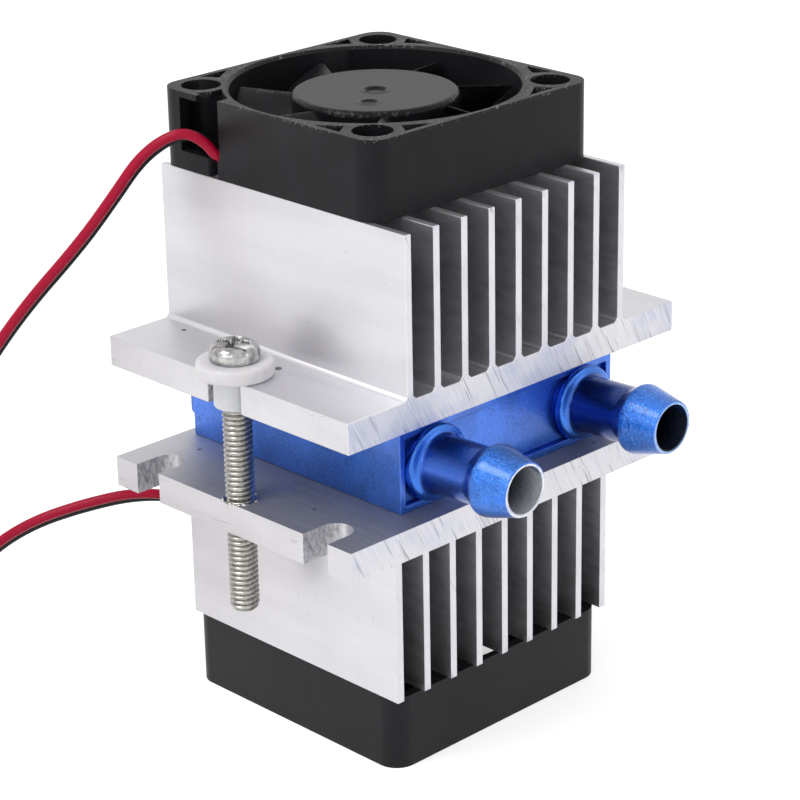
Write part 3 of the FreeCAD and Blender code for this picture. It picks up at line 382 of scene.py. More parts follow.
def aluminium(name, tint, rough, fins, fin_shade, plate_top, reflected_blue, marks_at):
    """Extruded aluminium: streaks along Y, saw marks on the ends, and painted shade on the faces between the fins.

    fins gives the heights in millimetres between which the fins stand, and plate_top the height of a plate's
    shaded upper face, which is painted grey as shade and made duller. tarnish says how dark the painted shade
    between the fins is, cast how strong the painted bluish reflection on the sawn ends is, and marks_at where single
    dents lie, each as (x, y, z, radius) in millimetres.
    Every kind of mark is a mask that says where it lies, times a noise that breaks it up.
    """
    finish = Finish(name, Specular_IOR_Level=0.5)
    noise = finish.noise
    x, y, z = finish.xyz()
    facing_x, facing_y, facing_z = finish.facing()
    faces_side, faces_end, off_middle = facing_x.size(), facing_y.size(), x.size()
    streaks = noise(0.0005, 4, (1, 60, 1))
    # A mask that is 1 at the heights where the fins stand, and 0 at the plate.
    low, high = fins
    between = z.ramp(low * MM, (low + 1) * MM) * (1 - z.ramp((high - 1) * MM, high * MM))
    tone = finish.blend(noise(0.004, 3, (1, 8, 1)).ramp(0.3, 0.7), scaled(tint, 0.94), tint)

    # The sawn ends: long scars with fine teeth across them, and a painted bluish reflection in broad patches.
    sawn = faces_end.ramp(0.6, 0.9)
    across, along = x * 0.88 + z * 0.47, z * 0.88 - x * 0.47
    teeth = finish.grain_along(across, along, 0.00022, 0.006, 5)
    scars = finish.grain_along(across, along, 0.0011, 0.02, 3)
    scored = sawn * scars.ramp(0.48, 0.66) * teeth.ramp(0.52, 0.6)
    tone = finish.blend(scored * (0.85 - between * 0.6), tone, scaled(tint, 0.35))
    # Painted reflection: the plates' sawn ends turn bluish in patches, lined by the saw teeth.
    blue_reflection = sawn * (1 - between) * noise(0.011, 2, (1, 1, 0.6)).ramp(0.42, 0.6)
    tone = finish.blend(blue_reflection * teeth.ramp(0.36, 0.55) * reflected_blue, tone, [c * s for c, s in zip(tint, (0.62, 0.67, 0.86))])

    # The outer faces: faint smears, and a few dull specks all over.
    outside = faces_side.ramp(0.8, 0.95) * off_middle.ramp((FIN_SIDE - 0.2) * MM, FIN_SIDE * MM)
    smears = noise(0.0006, 4, (1, 1, 20)) * 0.15 + noise(0.009, 4, (1, 1.6, 1)) * 0.85
    tone = finish.blend(outside * (smears.ramp(0.35, 0.65) * 0.07 + 0.05), tone, scaled(tint, 0.4))
    specks = noise(0.0009, 5, roughness=0.65).ramp(0.64, 0.74) * 0.4
    tone = finish.blend(specks, tone, scaled(tint, 0.5))

    # The faces that look at each other between the fins: painted shade, darker in patches.
    inside = 1 - off_middle.ramp((FIN_SIDE - 0.3) * MM, (FIN_SIDE - 0.1) * MM)
    fin_faces = faces_side.ramp(0.7, 0.95) * inside * between
    shade_patches = noise(0.0012, 4, (1, 3, 1)).ramp(0.35, 0.75)
    tone = finish.blend(fin_faces * (shade_patches * 0.2 + fin_shade), tone, (0.14, 0.135, 0.14))

    # A plate's shaded upper face: painted greyer as shade, and less metallic and rougher, more so towards the front.
    dull_and_shade = facing_z.ramp(0.8, 0.95) * z.ramp((plate_top - 0.6) * MM, (plate_top - 0.3) * MM)
    dull_and_shade = dull_and_shade * (1 - z.ramp((plate_top + 0.3) * MM, (plate_top + 0.6) * MM)) * y.ramp(20 * MM, 6 * MM, 0.35, 1.0)
    dull_and_shade = dull_and_shade * (noise(0.0008, 4, (1, 30, 1)).ramp(0.3, 0.7) * 0.12 + 0.88)
    dull_and_shade = dull_and_shade * noise(0.007, 5, (1, 1.5, 1)).ramp(0.3, 0.65, 1.0, 0.8)
    tone = finish.blend(dull_and_shade * 0.8, tone, (0.18, 0.175, 0.195))

    # The slots' walls: dark crumbs that the milling cutter has torn.
    milled = faces_end.ramp(0.25, 0.6) * (1 - y.size().ramp((CUT_END - 0.2) * MM, CUT_END * MM))
    milled = milled * off_middle.ramp(FLANGE_SLOTS * MM, (FLANGE_SLOTS + 0.5) * MM)
    crumbs = noise(0.0004, 5, (1, 1, 2.4), roughness=0.75).ramp(0.4, 0.66)
    tone = finish.blend(milled * (crumbs * 0.5 + 0.14), tone, (0.13, 0.125, 0.125))

    # Single marks: pits in upper faces, scratches on the flanges' long edges, and the dents in marks_at.
    pits = finish.scattered(0.009).ramp(0.022, 0.05, 1.0, 0.0) * facing_z.ramp(0.6, 0.9)
    tone = finish.blend(pits * 0.8, tone, (0.08, 0.08, 0.08))
    rim = faces_side.ramp(0.8, 0.95) * off_middle.ramp((FLANGE_EDGE - 1) * MM, FLANGE_EDGE * MM)
    scratch = finish.grain_along(z + y * 0.12, y, 0.00025, 0.005, 4).ramp(0.6, 0.68)
    smudge = noise(0.0035, 4, (1, 2, 1)).ramp(0.42, 0.62)
    tone = finish.blend(rim * (scratch * smudge * 0.45 + smudge * 0.05), tone, scaled(tint, 0.35))
    for px, py, pz, radius in marks_at:
        away = distance(x - px * MM, y - py * MM, z - pz * MM) + noise(0.0005, 3) * 0.0004
        tone = finish.blend(away.ramp((radius + 0.4) * MM, (radius + 0.1) * MM) * 0.85, tone, (0.06, 0.06, 0.06))

    finish.put("Base Color", tone)
    finish.put("Metallic", 1 - dull_and_shade * 0.45)
    finish.put("Roughness", streaks * 0.12 + rough + sawn * 0.06 + dull_and_shade * 0.12 + milled * 0.2)
    finish.bump(sawn * (teeth * 0.7 + scars * 0.6) * 4.0 + (1 - sawn) * streaks, 0.00002)
    return finish


ALUMINIUM_TINT = (0.715, 0.708, 0.735)
# The lower sink gets darker painted shade between its fins than the upper, and less painted blue on its ends.
upper_metal = aluminium("upper_sink_aluminium", ALUMINIUM_TINT, 0.37, fins=(53.2, 74.6), fin_shade=0.12, plate_top=0.0,
                        reflected_blue=0.55, marks_at=((-23.3, -2.6, 53.2, 0.5), (-22.2, 17.1, 53.2, 0.3)))
lower_metal = aluminium("lower_sink_aluminium", ALUMINIUM_TINT, 0.38, fins=(10.4, 31.8), fin_shade=0.22, plate_top=36.0,
                        reflected_blue=0.3, marks_at=((-24.0, -9.5, 36.0, 0.2),))
print("aluminium made:", upper_metal.material.name, "with", len(upper_metal.tree.nodes), "nodes")

# %% [markdown]
# The water block and its barbs are anodised blue over a fine blasted surface, whose glitter is painted as light
# specks. The dye sits in a clear oxide, so the metal keeps its shine under the colour. The barbs' necks were turned
# smooth and are painted darker as shade, the right one much darker, and at the mouths the dye has rubbed off.
# Further into the bores the colour is painted darker as shade, and the right bore is painted near black.

# %% Blue anodising
BLOCK_X, BARB_OFFSET = 2.1, 13.975
MOUTH_Z, MOUTH_Y, BORE_RADIUS, LIP_RADIUS = 42.2, -34.6, 3.12, 3.58
NECK_START, NECK_END = -19.9, -29.4


def blue_anodised(name, colour, rough, grain_size=0.00024, depth=0.00005, where=None):
    """Blasted and dyed aluminium: painted glints as sparkle, pits that stay dark, cloudy dye, and the oxide's clear
    coat.

    where is a function of the finish that gives 1 where the blasting is coarse and 0 where a tool left it smooth.
    """
    finish = Finish(name, Metallic=0.92, Coat_Weight=0.5, Coat_Roughness=0.18, Coat_IOR=1.6)
    rough_part = where(finish) if where else finish.noise(0.01, 2).ramp(0.3, 0.5, 0.75, 1.0)
    grain = finish.noise(grain_size, 4, roughness=0.75)
    coarse = finish.noise(grain_size * 2.2, 3, roughness=0.6)
    tone = finish.blend(finish.noise(0.005, 3).ramp(0.3, 0.7), scaled(colour, 0.8), scaled(colour, 1.15))
    # Painted glints: light specks where the blasting is coarse stand for the dents' sparkle.
    tone = finish.blend(rough_part * grain.ramp(0.53, 0.66) * 0.55, tone, (0.18, 0.47, 1.0))
    tone = finish.blend(rough_part * coarse.ramp(0.42, 0.3) * 0.6, tone, scaled(colour, 0.35))
    finish.put("Base Color", tone)
    finish.put("Roughness", grain * 0.25 + (rough - 0.12))
    finish.bump((grain * 0.5 + coarse * 0.9) * (rough_part * 0.85 + 0.15), depth)
    return finish


def past_neck(finish):
    """1 on the crest and the taper, and nearly 0 on the neck and the collar."""
    return finish.xyz()[1].ramp(-29.2 * MM, -29.8 * MM, 0.12, 1.0)


def barb_finish(name, axis_x, neck, lip, bore):
    """Blue outside, with a smooth turned neck painted darker as shade, a bare or thinly dyed lip at the mouth, and the
    bore's colour, painted darker further in as shade.
    """
    finish = blue_anodised(name, (0.026, 0.17, 0.68), 0.24, 0.0003, 0.0002, past_neck)
    x, y, z = finish.xyz()
    from_axis = distance(x - axis_x * MM, z - MOUTH_Z * MM)
    inside = from_axis.ramp((BORE_RADIUS + 0.08) * MM, BORE_RADIUS * MM)
    on_neck = y.ramp(NECK_END * MM, (NECK_END + 0.8) * MM) * y.ramp(NECK_START * MM, (NECK_START - 0.7) * MM)
    # Painted shade: the neck's colour is darker.
    tone = finish.blend(on_neck * 0.85, finish.linked("Base Color"), neck)
    ragged = y + finish.noise(0.0006, 3) * 0.0003
    lips = ragged.ramp((MOUTH_Y + 0.1) * MM, (MOUTH_Y - 0.02) * MM) * from_axis.ramp(LIP_RADIUS * MM, 3.46 * MM)
    tone = finish.blend(lips * (finish.noise(0.0008, 3).ramp(0.3, 0.6) * 0.4 + 0.6), tone, lip)
    # Painted shade in the bore: its colour falls to a quarter further in.
    shaded_bore = finish.blend(y.ramp(MOUTH_Y * MM, -29.5 * MM), bore, scaled(bore, 0.25))
    finish.put("Base Color", finish.blend(inside, tone, shaded_bore))
    finish.put("Metallic", inside * -0.65 + 0.92)
    return finish


block_blue = blue_anodised("water_block_blue", (0.048, 0.172, 0.7), 0.38, 0.00019)
# Both necks are painted darker as shade, the right one much darker; the right bore's near black is painted shade.
left_barb_blue = barb_finish("left_barb_blue", BLOCK_X - BARB_OFFSET, neck=(0.016, 0.09, 0.5), lip=(0.78, 0.8, 0.85),
                             bore=(0.75, 0.76, 0.8))
right_barb_blue = barb_finish("right_barb_blue", BLOCK_X + BARB_OFFSET, neck=(0.008, 0.035, 0.22),
                              lip=(0.35, 0.5, 0.85), bore=(0.02, 0.03, 0.06))
print("blue finishes made")

# %% [markdown]
# The remaining finishes: zinc plate on the screws, milky nylon for the washers, soft insulation for the leads, and
# simple but real-looking materials for what sits inside the fans and between the plates.

# %% Small finishes


def speckled(name, colour, rough, metallic=0.0, grain=0.0004, spread=0.12, depth=0.00001, **constants):
    """A finish with a fine noise in its colour, roughness and bump."""
    finish = Finish(name, Metallic=metallic, **constants)
    noise = finish.noise(grain, 4)
    finish.put("Base Color", finish.blend(noise.ramp(0.3, 0.7), scaled(colour, 1 - spread), scaled(colour, 1 + spread)))
    finish.put("Roughness", noise * 0.12 + (rough - 0.06))
    finish.bump(noise, depth)
    return finish


zinc = speckled("bright_zinc", (0.43, 0.425, 0.42), 0.16, 1.0, grain=0.0011, spread=0.3, depth=0.000008)
thread_zinc = speckled("thread_zinc", (0.45, 0.44, 0.415), 0.3, 1.0, grain=0.0004, spread=0.25, depth=0.000004)
nylon = speckled("white_nylon", (0.83, 0.82, 0.85), 0.38, grain=0.001, spread=0.03,
                 Subsurface_Weight=0.3, Subsurface_Scale=0.002)
red_insulation = speckled("red_insulation", (0.46, 0.003, 0.036), 0.25, grain=0.0008, spread=0.04,
                          Specular_IOR_Level=0.17)
black_insulation = speckled("black_insulation", (0.009, 0.008, 0.01), 0.35, grain=0.0008, spread=0.1,
                            Specular_IOR_Level=0.18)
plug_plastic = speckled("plug_nylon", (0.72, 0.70, 0.66), 0.4, grain=0.001, spread=0.04)
ceramic = speckled("alumina", (0.80, 0.80, 0.78), 0.55, grain=0.0006, spread=0.04)
pellet = speckled("pellets", (0.25, 0.25, 0.27), 0.45, 0.7)
bronze = speckled("sintered_bronze", (0.50, 0.33, 0.16), 0.5, 1.0, grain=0.0002)
board_green = speckled("board_green", (0.02, 0.14, 0.06), 0.4)
lamination = speckled("core_steel", (0.4, 0.4, 0.41), 0.4, 1.0)
copper = speckled("enamelled_copper", (0.55, 0.22, 0.08), 0.3, 1.0, grain=0.0002, spread=0.3, depth=0.00004)
ferrite = speckled("bonded_ferrite", (0.05, 0.05, 0.05), 0.6)
plain_steel = speckled("plain_steel", (0.55, 0.55, 0.55), 0.35, 1.0)

INNER_PARTS = {"bearing": bronze, "circuit_board": board_green, "stator_core": lamination, "windings": copper,
               "shaft": plain_steel, "rotor_yoke": plain_steel, "magnet_ring": ferrite}


def dress(node, finish):
    """Gives a CAD node that keeps its shape a finish of its own."""
    data = nodes[node].data
    data.materials.clear()
    data.materials.append(finish.material)


for side in ("upper", "lower"):
    for part, finish in INNER_PARTS.items():
        dress("%s_fan_%s" % (side, part), finish)
for part, finish in (("cold_plate", ceramic), ("hot_plate", ceramic), ("pellets", pellet)):
    dress("element_" + part, finish)
print("small finishes made")

# %% [markdown]
# Each fan has a red and a black lead. They come out of the notch in the frame's wall, bend over, and drop to the
# floor outside the picture, where the rest of their quarter of a metre lies in a flat coil with a plug on it. A
# lead is a smooth spline through listed points, and the coil's turns are worked out by a loop.

# %% Leads
LEAD_DIAMETER, LEAD_LENGTH, TURN_PITCH, TURN_STEP = 1.4, 250.0, 1.475, math.radians(24)
COILS = {
    "upper": {"centre": (-62.8, 42.4), "along": (0, 1), "across": (-1, 0),
              "start": -math.pi / 4, "turns": 2.678, "radius": 9.33},
    "lower": {"centre": (-38.5, 66.3), "along": (1, 0), "across": (0, -1),
              "start": 3 * math.pi / 4, "turns": 3.178, "radius": 10.04},
}
RED_TAIL = ((-4.5, -3.4, 2.25), (-3.3, -4.45, 2.4), (-1.8, -4.95, 2.66), (-0.2, -4.6, 3.02), (1.3, -3.65, 3.49),
            (2.6, -2.7, 4.0), (4.05, -2.15, 4.65))
BLACK_TAIL = ((-4.5, -3.4, 0.75), (-3.3, -4.5, 0.83), (-1.7, -4.9, 1.09), (0.1, -4.8, 1.67), (1.7, -4.62, 2.43),
              (2.9, -4.57, 3.5), (4.05, -4.57, 4.65))


def on_coil(coil, a, b, height):
    """The point a along and b across the coil's own two directions from its centre, at a height."""
    return tuple(coil["centre"][k] + a * coil["along"][k] + b * coil["across"][k] for k in (0, 1)) + (height,)


def coil_turns(coil, height):
    """Points of a flat spiral that winds inwards: for each full turn the radius shrinks by one pitch."""
    sweep = coil["turns"] * 2 * math.pi
    steps = round(sweep / TURN_STEP)
    points = []
    for number in range(1, steps + 1):
        turned = sweep * number / steps
        radius = coil["radius"] - TURN_PITCH * turned / (2 * math.pi)
        angle = coil["start"] + turned
        points.append(on_coil(coil, radius * math.cos(angle), radius * math.sin(angle), height))
    return points


def lead(name, route, coil, tail, finish, replaced):
    """One lead: the route, the coil's turns, and the tail that climbs into the plug, as points of one spline."""
    points = list(route) + coil_turns(coil, route[-1][2]) + [on_coil(coil, *point) for point in tail]
    curve = bpy.data.curves.new(name, "CURVE")
    curve.dimensions = "3D"
    spline = curve.splines.new("NURBS")
    spline.points.add(len(points) - 1)
    spline.points.foreach_set("co", np.hstack([np.array(points) * MM, np.ones((len(points), 1))]).ravel())
    spline.order_u = 3
    spline.use_endpoint_u = True
    spline.resolution_u = 6
    curve.bevel_depth = LEAD_DIAMETER / 2 * MM
    curve.bevel_resolution = 5
    curve.use_fill_caps = True
    curve.materials.append(finish.material)
    made = bpy.data.objects.new(name, curve)
    bpy.context.scene.collection.objects.link(made)
    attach(made, "stack")
    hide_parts(*replaced)
    return made


upper_red_route = [
    (-9.11, 7.11, 76.77), (-13.62, 9.27, 76.78), (-19.2, 11.95, 76.8), (-20.4, 13.2, 79.4),
    (-22.6, 15.5, 80.9), (-26.1, 19.0, 78.0), (-29.1, 22.0, 72.0), (-32.3, 25.3, 65.9),
    (-38.0, 31.1, 56.9), (-42.6, 35.8, 47.6), (-46.2, 39.3, 37.6), (-48.0, 41.0, 27.0),
    (-48.7, 41.7, 17.0), (-49.9, 42.8, 9.2), (-52.6, 45.4, 3.9), (-56.2, 49.0, 2.25),
]
upper_black_route = [
    (-9.11, 7.11, 75.33), (-14.95, 9.91, 75.33), (-17.3, 13.2, 75.9), (-18.6, 14.6, 79.0),
    (-21.55, 16.6, 80.15), (-25.15, 20.0, 77.0), (-28.15, 23.0, 71.0), (-31.35, 26.3, 64.9),
    (-37.05, 32.1, 55.9), (-41.65, 36.8, 46.6), (-45.1, 40.4, 36.8), (-46.9, 42.1, 26.6),
    (-47.6, 42.8, 16.6), (-48.9, 43.9, 8.3), (-51.75, 46.25, 2.6), (-56.2, 49.0, 0.75),
]
lower_red_route = [
    (-4.36, 9.61, 9.6), (-6.27, 13.58, 9.62), (-8.3, 17.81, 9.62), (-10.46, 22.32, 9.6),
    (-12.6, 26.5, 13.2), (-12.1, 26.4, 18.6), (-13.6, 27.8, 23.0), (-18.9, 32.9, 24.2),
    (-24.4, 38.3, 22.5), (-30.0, 43.8, 19.8), (-34.6, 48.3, 15.5), (-37.6, 51.3, 9.8),
    (-41.0, 54.6, 4.6), (-45.6, 59.2, 2.25),
]
lower_black_route = [
    (-4.36, 9.61, 8.15), (-6.27, 13.58, 8.17), (-8.3, 17.81, 8.17), (-10.67, 22.77, 8.15),
    (-11.6, 27.5, 12.3), (-11.0, 27.5, 18.3), (-12.8, 29.2, 22.3), (-18.05, 33.8, 23.1),
    (-23.5, 39.2, 21.4), (-29.1, 44.7, 18.7), (-33.7, 49.2, 14.4), (-36.65, 52.3, 8.8),
    (-40.1, 55.5, 3.4), (-45.6, 59.2, 0.75),
]
plugs = {side: softened(side + "_plug", side + "_lead_plug", plug_plastic, "stack", 0.4, 3)
         for side in ("upper", "lower")}
for side, red, black in (("upper", upper_red_route, upper_black_route),
                         ("lower", lower_red_route, lower_black_route)):
    lead(side + "_red_wire", red, COILS[side], RED_TAIL, red_insulation,
         (side + "_red_lead", side + "_lead_coil"))
    lead(side + "_black_wire", black, COILS[side], BLACK_TAIL, black_insulation,
         (side + "_black_lead",))
print("leads laid")

# %% [markdown]
# Heat sinks, water block and fan frames have the right shape in CAD. What they lack is broken edges: a real edge is
# never perfectly sharp, and the thin bright line along it tells the eye that it is metal or moulded plastic.

# %% Sinks, block and frames
for side, metal, plastic in (("upper", upper_metal, upper_plastic), ("lower", lower_metal, lower_plastic)):
    softened(side + "_sink", side + "_heat_sink", metal, "stack", 0.17)
    softened(side + "_frame", side + "_fan_frame", plastic, "stack", 0.18)
for name, node, edge_width in (("block", "water_block_body", 0.15), ("front_cap", "water_block_front_cap", 0.1),
                               ("rear_cap", "water_block_rear_cap", 0.15)):
    softened(name, node, block_blue, "stack", edge_width)

# %% [markdown]
# The screws' threads are too fine for CAD, so they are made here: a strip as wide as one pitch winds round the
# shank as a helix, and its cross-section is the thread's profile. The head is a height field over rings round its
# centre, with the cross recess pressed into it. The washers are turned from nylon, and where a screw bites into the
# lower plate, a ragged ring of burrs stands up.

# %% Screws and washers
SCREW_X, TIP_Z, SEAT_Z, LOWER_PLATE_TOP = 28.2, 20.5, 55.25, 36.0
CREST_RADIUS, ROOT_RADIUS, TIP_RADIUS, PITCH, STEPS_PER_TURN = 1.95, 1.5, 1.45, 0.7, 36
HEAD_RADIUS, HEAD_HEIGHT, HEAD_TURN, HEAD_RIM, DOME_POWER = 3.3, 2.45, math.radians(31.8), 0.35, 3.2
ARM_HALF_WIDTH, ARM_REACH, ARM_DEPTH = 0.56, 2.2, 1.9
WASHER = [(3.5, 55.25), (5.05, 55.25), (5.05, 53.2), (2.9, 53.2), (2.9, 49.0), (2.07, 49.0), (2.07, 55.25),
          (3.5, 55.25)]
WASHER_ROUNDING = (0.8, 0.5, 0.35, 0.3, 0.15, 0.3)


def smooth(t):
    """0 below 0, 1 above 1, and an S-shaped rise between: three times the square less twice the cube."""
    t = np.clip(t, 0, 1)
    return t * t * (3 - 2 * t)


def thread(x, top):
    """A thread as a grid: one row for each step round the axis, one column for each place across the profile.

    The height of a point is the pitch times its turns plus its share of the profile. The radius runs from root
    to crest and back, and near the tip it is cut by a chamfer.
    """
    across = np.array([0, 0.1, 0.26, 0.42, 0.5, 0.58, 0.74, 0.9, 1.0])
    rise = np.array([0, 0, 0.5, 0.97, 1, 0.97, 0.5, 0, 0])
    turns = math.ceil((top - TIP_Z) / PITCH) + 1
    angle = np.arange(turns * STEPS_PER_TURN + 1)[:, None] * (2 * np.pi / STEPS_PER_TURN)
    z = np.clip(TIP_Z + PITCH * (angle / (2 * np.pi) + across - 1), TIP_Z, top)
    r = np.minimum(ROOT_RADIUS + (CREST_RADIUS - ROOT_RADIUS) * rise, TIP_RADIUS + z - TIP_Z)
    return np.stack([x + r * np.cos(angle), r * np.sin(angle), z], -1)


def pan_head(x):
    """A pan head: rings from the centre out, over the rim and in again below, with a cross recess on top.

    The dome falls as the root of order 3.2 of 1 less the ring's share of the radius to the power 3.2. The recess is
    two crossed grooves, each a smooth step across times a smooth step along, and a round dip where they meet.
    """
    ring = np.linspace(0, 1, 46) ** 0.9
    r = HEAD_RADIUS * ring[:, None]
    angle = np.linspace(0, 2 * np.pi, 144, endpoint=False)[None, :]
    dome = SEAT_Z + HEAD_RIM + (HEAD_HEIGHT - HEAD_RIM) * (1 - ring[:, None] ** DOME_POWER) ** (1 / DOME_POWER)
    u, v = r * np.cos(angle - HEAD_TURN), r * np.sin(angle - HEAD_TURN)
    arms = [smooth((ARM_HALF_WIDTH - np.abs(p)) / 0.12) * smooth((ARM_REACH - np.abs(q)) / 0.22)
            * (ARM_DEPTH - 0.45 * np.abs(q)) for p, q in ((u, v), (v, u))]
    z = dome - np.maximum(np.maximum(*arms), 1.2 * smooth((1.25 - np.hypot(u, v)) / 0.9))
    top = np.stack([x + r * np.cos(angle), r * np.sin(angle), z], -1)
    under = [(HEAD_RADIUS, SEAT_Z + HEAD_RIM), (HEAD_RADIUS - 0.03, SEAT_Z + 0.12), (HEAD_RADIUS - 0.2, SEAT_Z),
             (1.2, SEAT_Z)]
    return np.vstack([top, lathe(under, (x, 0, 0), steps=144)[0]])


def burr_ring(x):
    """Burrs round the screw's hole: an arch over a ring whose width and height swing with sines of the angle."""
    turn = np.linspace(0, 2 * np.pi, 90, endpoint=False)
    crumb = 0.5 + 0.28 * np.sin(7 * turn + x) + 0.22 * np.sin(19 * turn) * np.sin(4 * turn + 1)
    t = np.linspace(0, 1, 9)[:, None]
    r = 2.02 + (0.26 + 0.32 * crumb) * t
    height = LOWER_PLATE_TOP - 0.03 + 0.32 * crumb * np.sin(np.pi * t) ** 0.7
    return np.stack([x + r * np.cos(turn), r * np.sin(turn), height], -1)


for side, x in (("left", -SCREW_X), ("right", SCREW_X)):
    shank, head = thread(x, SEAT_Z + 0.15), pan_head(x)
    tip = lathe([(0, TIP_Z), (0.8, TIP_Z), (TIP_RADIUS, TIP_Z)], (x, 0, 0), steps=STEPS_PER_TURN)
    made = piece(side + "_screw", [(head, False, True), (shank, False, False), tip], zinc, "stack",
                 (side + "_clamp_screw",), smooth_angle=50)
    made.data.materials.append(thread_zinc.material)
    centres = np.empty(len(made.data.polygons) * 3)
    made.data.polygons.foreach_get("center", centres)
    below_head = centres.reshape(-1, 3)[:, 2] < (SEAT_Z - 0.05) * MM
    made.data.polygons.foreach_set("material_index", below_head.astype(int))
    piece(side + "_washer", [lathe(rounded(WASHER, WASHER_ROUNDING), (x, 0, 0), steps=120)], nylon, "stack",
          (side + "_shoulder_washer",))
    piece(side + "_burr", [(burr_ring(x), False, True)], thread_zinc, "stack", smooth_angle=25, outward=False)
    print(side, "screw", shank.shape, "head", head.shape)

# %% [markdown]
# The hose barbs are turned parts. The profile runs from the stub in the cap over the collar, the neck and the crest
# to the mouth and back through the bore, and each corner has its own rounding.

# %% Hose barbs
CAP_FACE_Y, BARB_Z = -18.95, 41.5
BARB = [(3.1, 6.0), (3.1, -2.0), (4.2, -2.0), (4.2, 0.0), (5.1, 0.0), (5.1, 1.0), (3.85, 1.3),
        (3.85, 9.3), (4.75, 10.5), (4.75, 11.1), (3.58, 15.9), (3.1, 15.9), (3.1, 6.0)]
BARB_ROUNDING = (0.1, 0.1, 0.05, 0.05, 0.35, 0.9, 1.3, 0.45, 0.4, 0.16, 0.12)
COLLAR_RISE, SLOPE = 0.25, 0.036


def barb(side, x, finish):
    """One barb: in the photograph both mouths stand a little higher than the collars, so the rings rise outwards.

    A ring in front of the cap's face rises by a fixed step and by the slope times its distance from the face.
    """
    grid, wrap_rows, wrap_columns = lathe(rounded(BARB, BARB_ROUNDING, 7), (x, CAP_FACE_Y, BARB_Z), "y", 128)
    out = CAP_FACE_Y - grid[:, :, 1]
    grid[:, :, 2] += COLLAR_RISE * np.clip(out / 0.3, 0, 1) + SLOPE * np.clip(out, 0, None)
    return piece(side + "_hose_barb", [(grid, wrap_rows, wrap_columns)], finish, "stack", (side + "_barb",))


barb("left", BLOCK_X - BARB_OFFSET, left_barb_blue)
barb("right", BLOCK_X + BARB_OFFSET, right_barb_blue)
print("barbs turned")

# %% [markdown]
# An impeller is a hub cup with seven blades. Each blade is a closed skin: rows from the hub to the tip, and columns
# once round the blade's section, which leans from a leading edge at the top to a trailing edge at the bottom.

# %% Impellers
BLADES, FIRST_BLADE = 7, 136.0
HUB_RADIUS, HUB_ROUNDING, HUB_TOP, RINGS = 11.0, 0.7, 9.4, 60
HUB_BELOW = [(HUB_RADIUS, 8.5), (HUB_RADIUS, 3.5), (10.85, 3.3), (9.8, 3.3), (9.7, 3.4), (9.7, 8.2),
             (2.2, 8.2), (2.2, 7.2), (1.0, 7.2), (1.0, 8.8), (0, 8.8)]
DIMPLE, MARK, MARK_OUT, MARK_ANGLE = 1.45, 1.1, 6, math.radians(172.0 + FIRST_BLADE - 90)
BLADE_ROOT, BLADE_TIP, BLADE_TOP, BLADE_DEPTH, BLADE_HALF = 10.7, 18.4, 8.8, 5.4, 0.45


def hub_cup():
    """The cup: a height field on top with a dimple and a gate mark, then the skirt, the ceiling and the shaft boss.

    The dimple and the mark are smooth steps down, each with a low smooth ring round it, and the edge is a quarter
    circle.
    """
    flat = HUB_RADIUS - HUB_ROUNDING
    angle = np.linspace(0, 2 * np.pi, 168, endpoint=False)[None, :]
    edge_rings = flat + HUB_ROUNDING * np.sin(np.linspace(0, np.pi / 2, 7))[1:]
    r = np.concatenate([np.linspace(0, flat, RINGS), edge_rings])[:, None]
    past_flat = np.clip(r - flat, 0, HUB_ROUNDING) / HUB_ROUNDING
    edge = HUB_ROUNDING - HUB_ROUNDING * np.sqrt(np.clip(1 - past_flat**2, 0, 1))
    mark_x, mark_y = MARK_OUT * math.cos(MARK_ANGLE), MARK_OUT * math.sin(MARK_ANGLE)
    away = np.hypot(r * np.cos(angle) - mark_x, r * np.sin(angle) - mark_y)
    z = HUB_TOP - edge
    z = z - 0.25 * smooth((DIMPLE - r) / 0.25) + 0.07 * smooth(1 - np.abs(r - DIMPLE - 0.3) / 0.3)
    z = z - 0.2 * smooth((MARK - away) / 0.25) + 0.06 * smooth(1 - np.abs(away - MARK - 0.25) / 0.25)
    top = np.stack(np.broadcast_arrays(r * np.cos(angle), r * np.sin(angle), z), -1)
    return np.vstack([top, lathe(HUB_BELOW, steps=168)[0]])


def blade_skin(angle):
    """One blade at an angle: the lean and the camber grow from root to tip, and both ends of the section are round.

    q runs down the section and back up, and s from root to tip. The lean is a parabola in q through the leading edge,
    the middle and the trailing edge, with half the thickness added on one side and taken off on the other.
    """
    q = (1 - np.cos(np.linspace(0, np.pi, 22))) / 2
    q = np.concatenate([q, q[-2:0:-1]])
    side = np.concatenate([np.ones(22), -np.ones(20)])
    s = np.concatenate([[0], np.linspace(0, 1, 16), [1]])[:, None]
    half = BLADE_HALF * (1 - 0.25 * s)
    half[0], half[-1] = 0, 0
    front, rear = 1.5 + 3.5 * s, -3.2 - 0.2 * s
    middle = (front + rear) / 2 - 0.7
    lean = front * (1 - q) * (1 - 2 * q) + middle * 4 * q * (1 - q) + rear * q * (2 * q - 1)
    lean = lean + side * half * (1 - np.abs(2 * q - 1) ** 6) ** 0.5
    r = np.broadcast_to(BLADE_ROOT + (BLADE_TIP - BLADE_ROOT) * s, lean.shape)
    turn = angle - np.arcsin(lean / r)
    z = np.broadcast_to(BLADE_TOP - BLADE_DEPTH * q, lean.shape)
    return np.stack([r * np.cos(turn), r * np.sin(turn), z], -1)


def placed_in_fan(grid, side):
    """Moves a grid into the upper fan, or turns it over about a slanted line and moves it into the lower one."""
    if side == "upper":
        return grid + UPPER_FAN
    return np.array(LOWER_FAN) - grid[:, :, (1, 0, 2)]


for side in ("upper", "lower"):
    skins = [hub_cup()] + [blade_skin(math.radians(FIRST_BLADE) + k * 2 * math.pi / BLADES) for k in range(BLADES)]
    piece(side + "_impeller", [(placed_in_fan(skin, side), False, True) for skin in skins], rotor_plastic,
          side + "_rotor", (side + "_fan_impeller",))

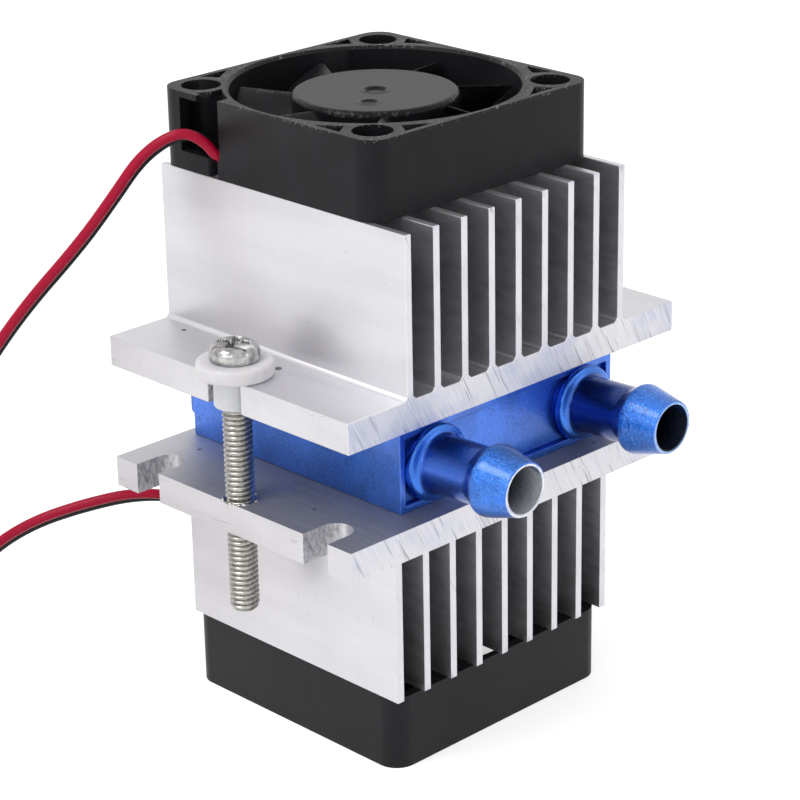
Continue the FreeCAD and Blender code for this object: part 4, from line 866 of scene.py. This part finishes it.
# %% [markdown]
# The studio is a white table with soft lamps: a high one and a lower one on the left, and a weak one in front on the
# right. The white that the camera sees comes from the table's and the world's own colour, so the lamps stay gentle
# on the object.

# %% Table and lamps
LAMP_AIM, TABLE_HALF, TABLE_WHITE, TABLE_GLOW = (0, 0, 0.04), 3.0, 0.8, 0.62
WORLD_LIGHT, WORLD_SEEN = 0.5, 1.0


def lamp(name, place, width, height, power):
    """A rectangular soft lamp at a place, turned towards the object's middle."""
    light = bpy.data.lights.new(name, "AREA")
    light.shape, light.size, light.size_y, light.energy = "RECTANGLE", width, height, power
    made = bpy.data.objects.new(name, light)
    bpy.context.scene.collection.objects.link(made)
    direction = np.array(place, float) - np.array(LAMP_AIM, float)
    direction /= np.linalg.norm(direction)
    side = np.cross([0, 0, 1.0], direction)
    side /= np.linalg.norm(side)
    turn = np.eye(4)
    turn[:3, 0], turn[:3, 1], turn[:3, 2], turn[:3, 3] = side, np.cross(direction, side), direction, place
    made.matrix_world = Matrix(turn.tolist())


def seen_directly(tree):
    """A socket that is 1 for what the camera, a reflection or a look through glass sees, and 0 for lighting."""
    path = tree.nodes.new("ShaderNodeLightPath")
    total = path.outputs["Is Camera Ray"]
    for name in ("Is Glossy Ray", "Is Transmission Ray"):
        either = tree.nodes.new("ShaderNodeMath")
        either.operation = "MAXIMUM"
        tree.links.new(total, either.inputs[0])
        tree.links.new(path.outputs[name], either.inputs[1])
        total = either.outputs[0]
    return total


def two_levels(tree, lighting, seen, target):
    """Drives a strength socket: one level for lighting rays, another for what is seen directly."""
    level = tree.nodes.new("ShaderNodeMapRange")
    tree.links.new(seen_directly(tree), level.inputs["Value"])
    level.inputs["To Min"].default_value, level.inputs["To Max"].default_value = lighting, seen
    tree.links.new(level.outputs[0], target)


lamp("key_lamp", (-0.42, 0.12, 0.62), 0.26, 0.26, 1.5)
lamp("left_lamp", (-0.6, -0.15, 0.3), 0.5, 0.4, 0.7)
lamp("front_lamp", (0.3, -0.65, 0.3), 0.35, 0.35, 0.4)

world = bpy.data.worlds.new("studio")
bpy.context.scene.world = world
world.use_nodes = True
background = world.node_tree.nodes["Background"]
background.inputs["Color"].default_value = (1, 1, 1, 1)
two_levels(world.node_tree, WORLD_LIGHT, WORLD_SEEN, background.inputs["Strength"])

table_mesh = bpy.data.meshes.new("table_top")
corners = [(x * TABLE_HALF, y * TABLE_HALF, 0) for x, y in ((-1, -1), (1, -1), (1, 1), (-1, 1))]
table_mesh.from_pydata(corners, [], [(0, 1, 2, 3)])
table = bpy.data.objects.new("table_top", table_mesh)
bpy.context.scene.collection.objects.link(table)
paper = Finish("white_paper", Roughness=0.8)
paper.put("Base Color", (TABLE_WHITE, TABLE_WHITE, TABLE_WHITE, 1))
table_mesh.materials.append(paper.material)
glow = paper.tree.nodes.new("ShaderNodeEmission")
two_levels(paper.tree, 0.0, TABLE_GLOW, glow.inputs["Strength"])
added = paper.tree.nodes.new("ShaderNodeAddShader")
paper.tree.links.new(paper.shader.outputs[0], added.inputs[0])
paper.tree.links.new(glow.outputs[0], added.inputs[1])
paper.tree.links.new(added.outputs[0], paper.tree.nodes["Material Output"].inputs["Surface"])

bpy.context.scene.view_settings.view_transform = "Standard"
print("table and", len(bpy.data.lights), "lamps set")
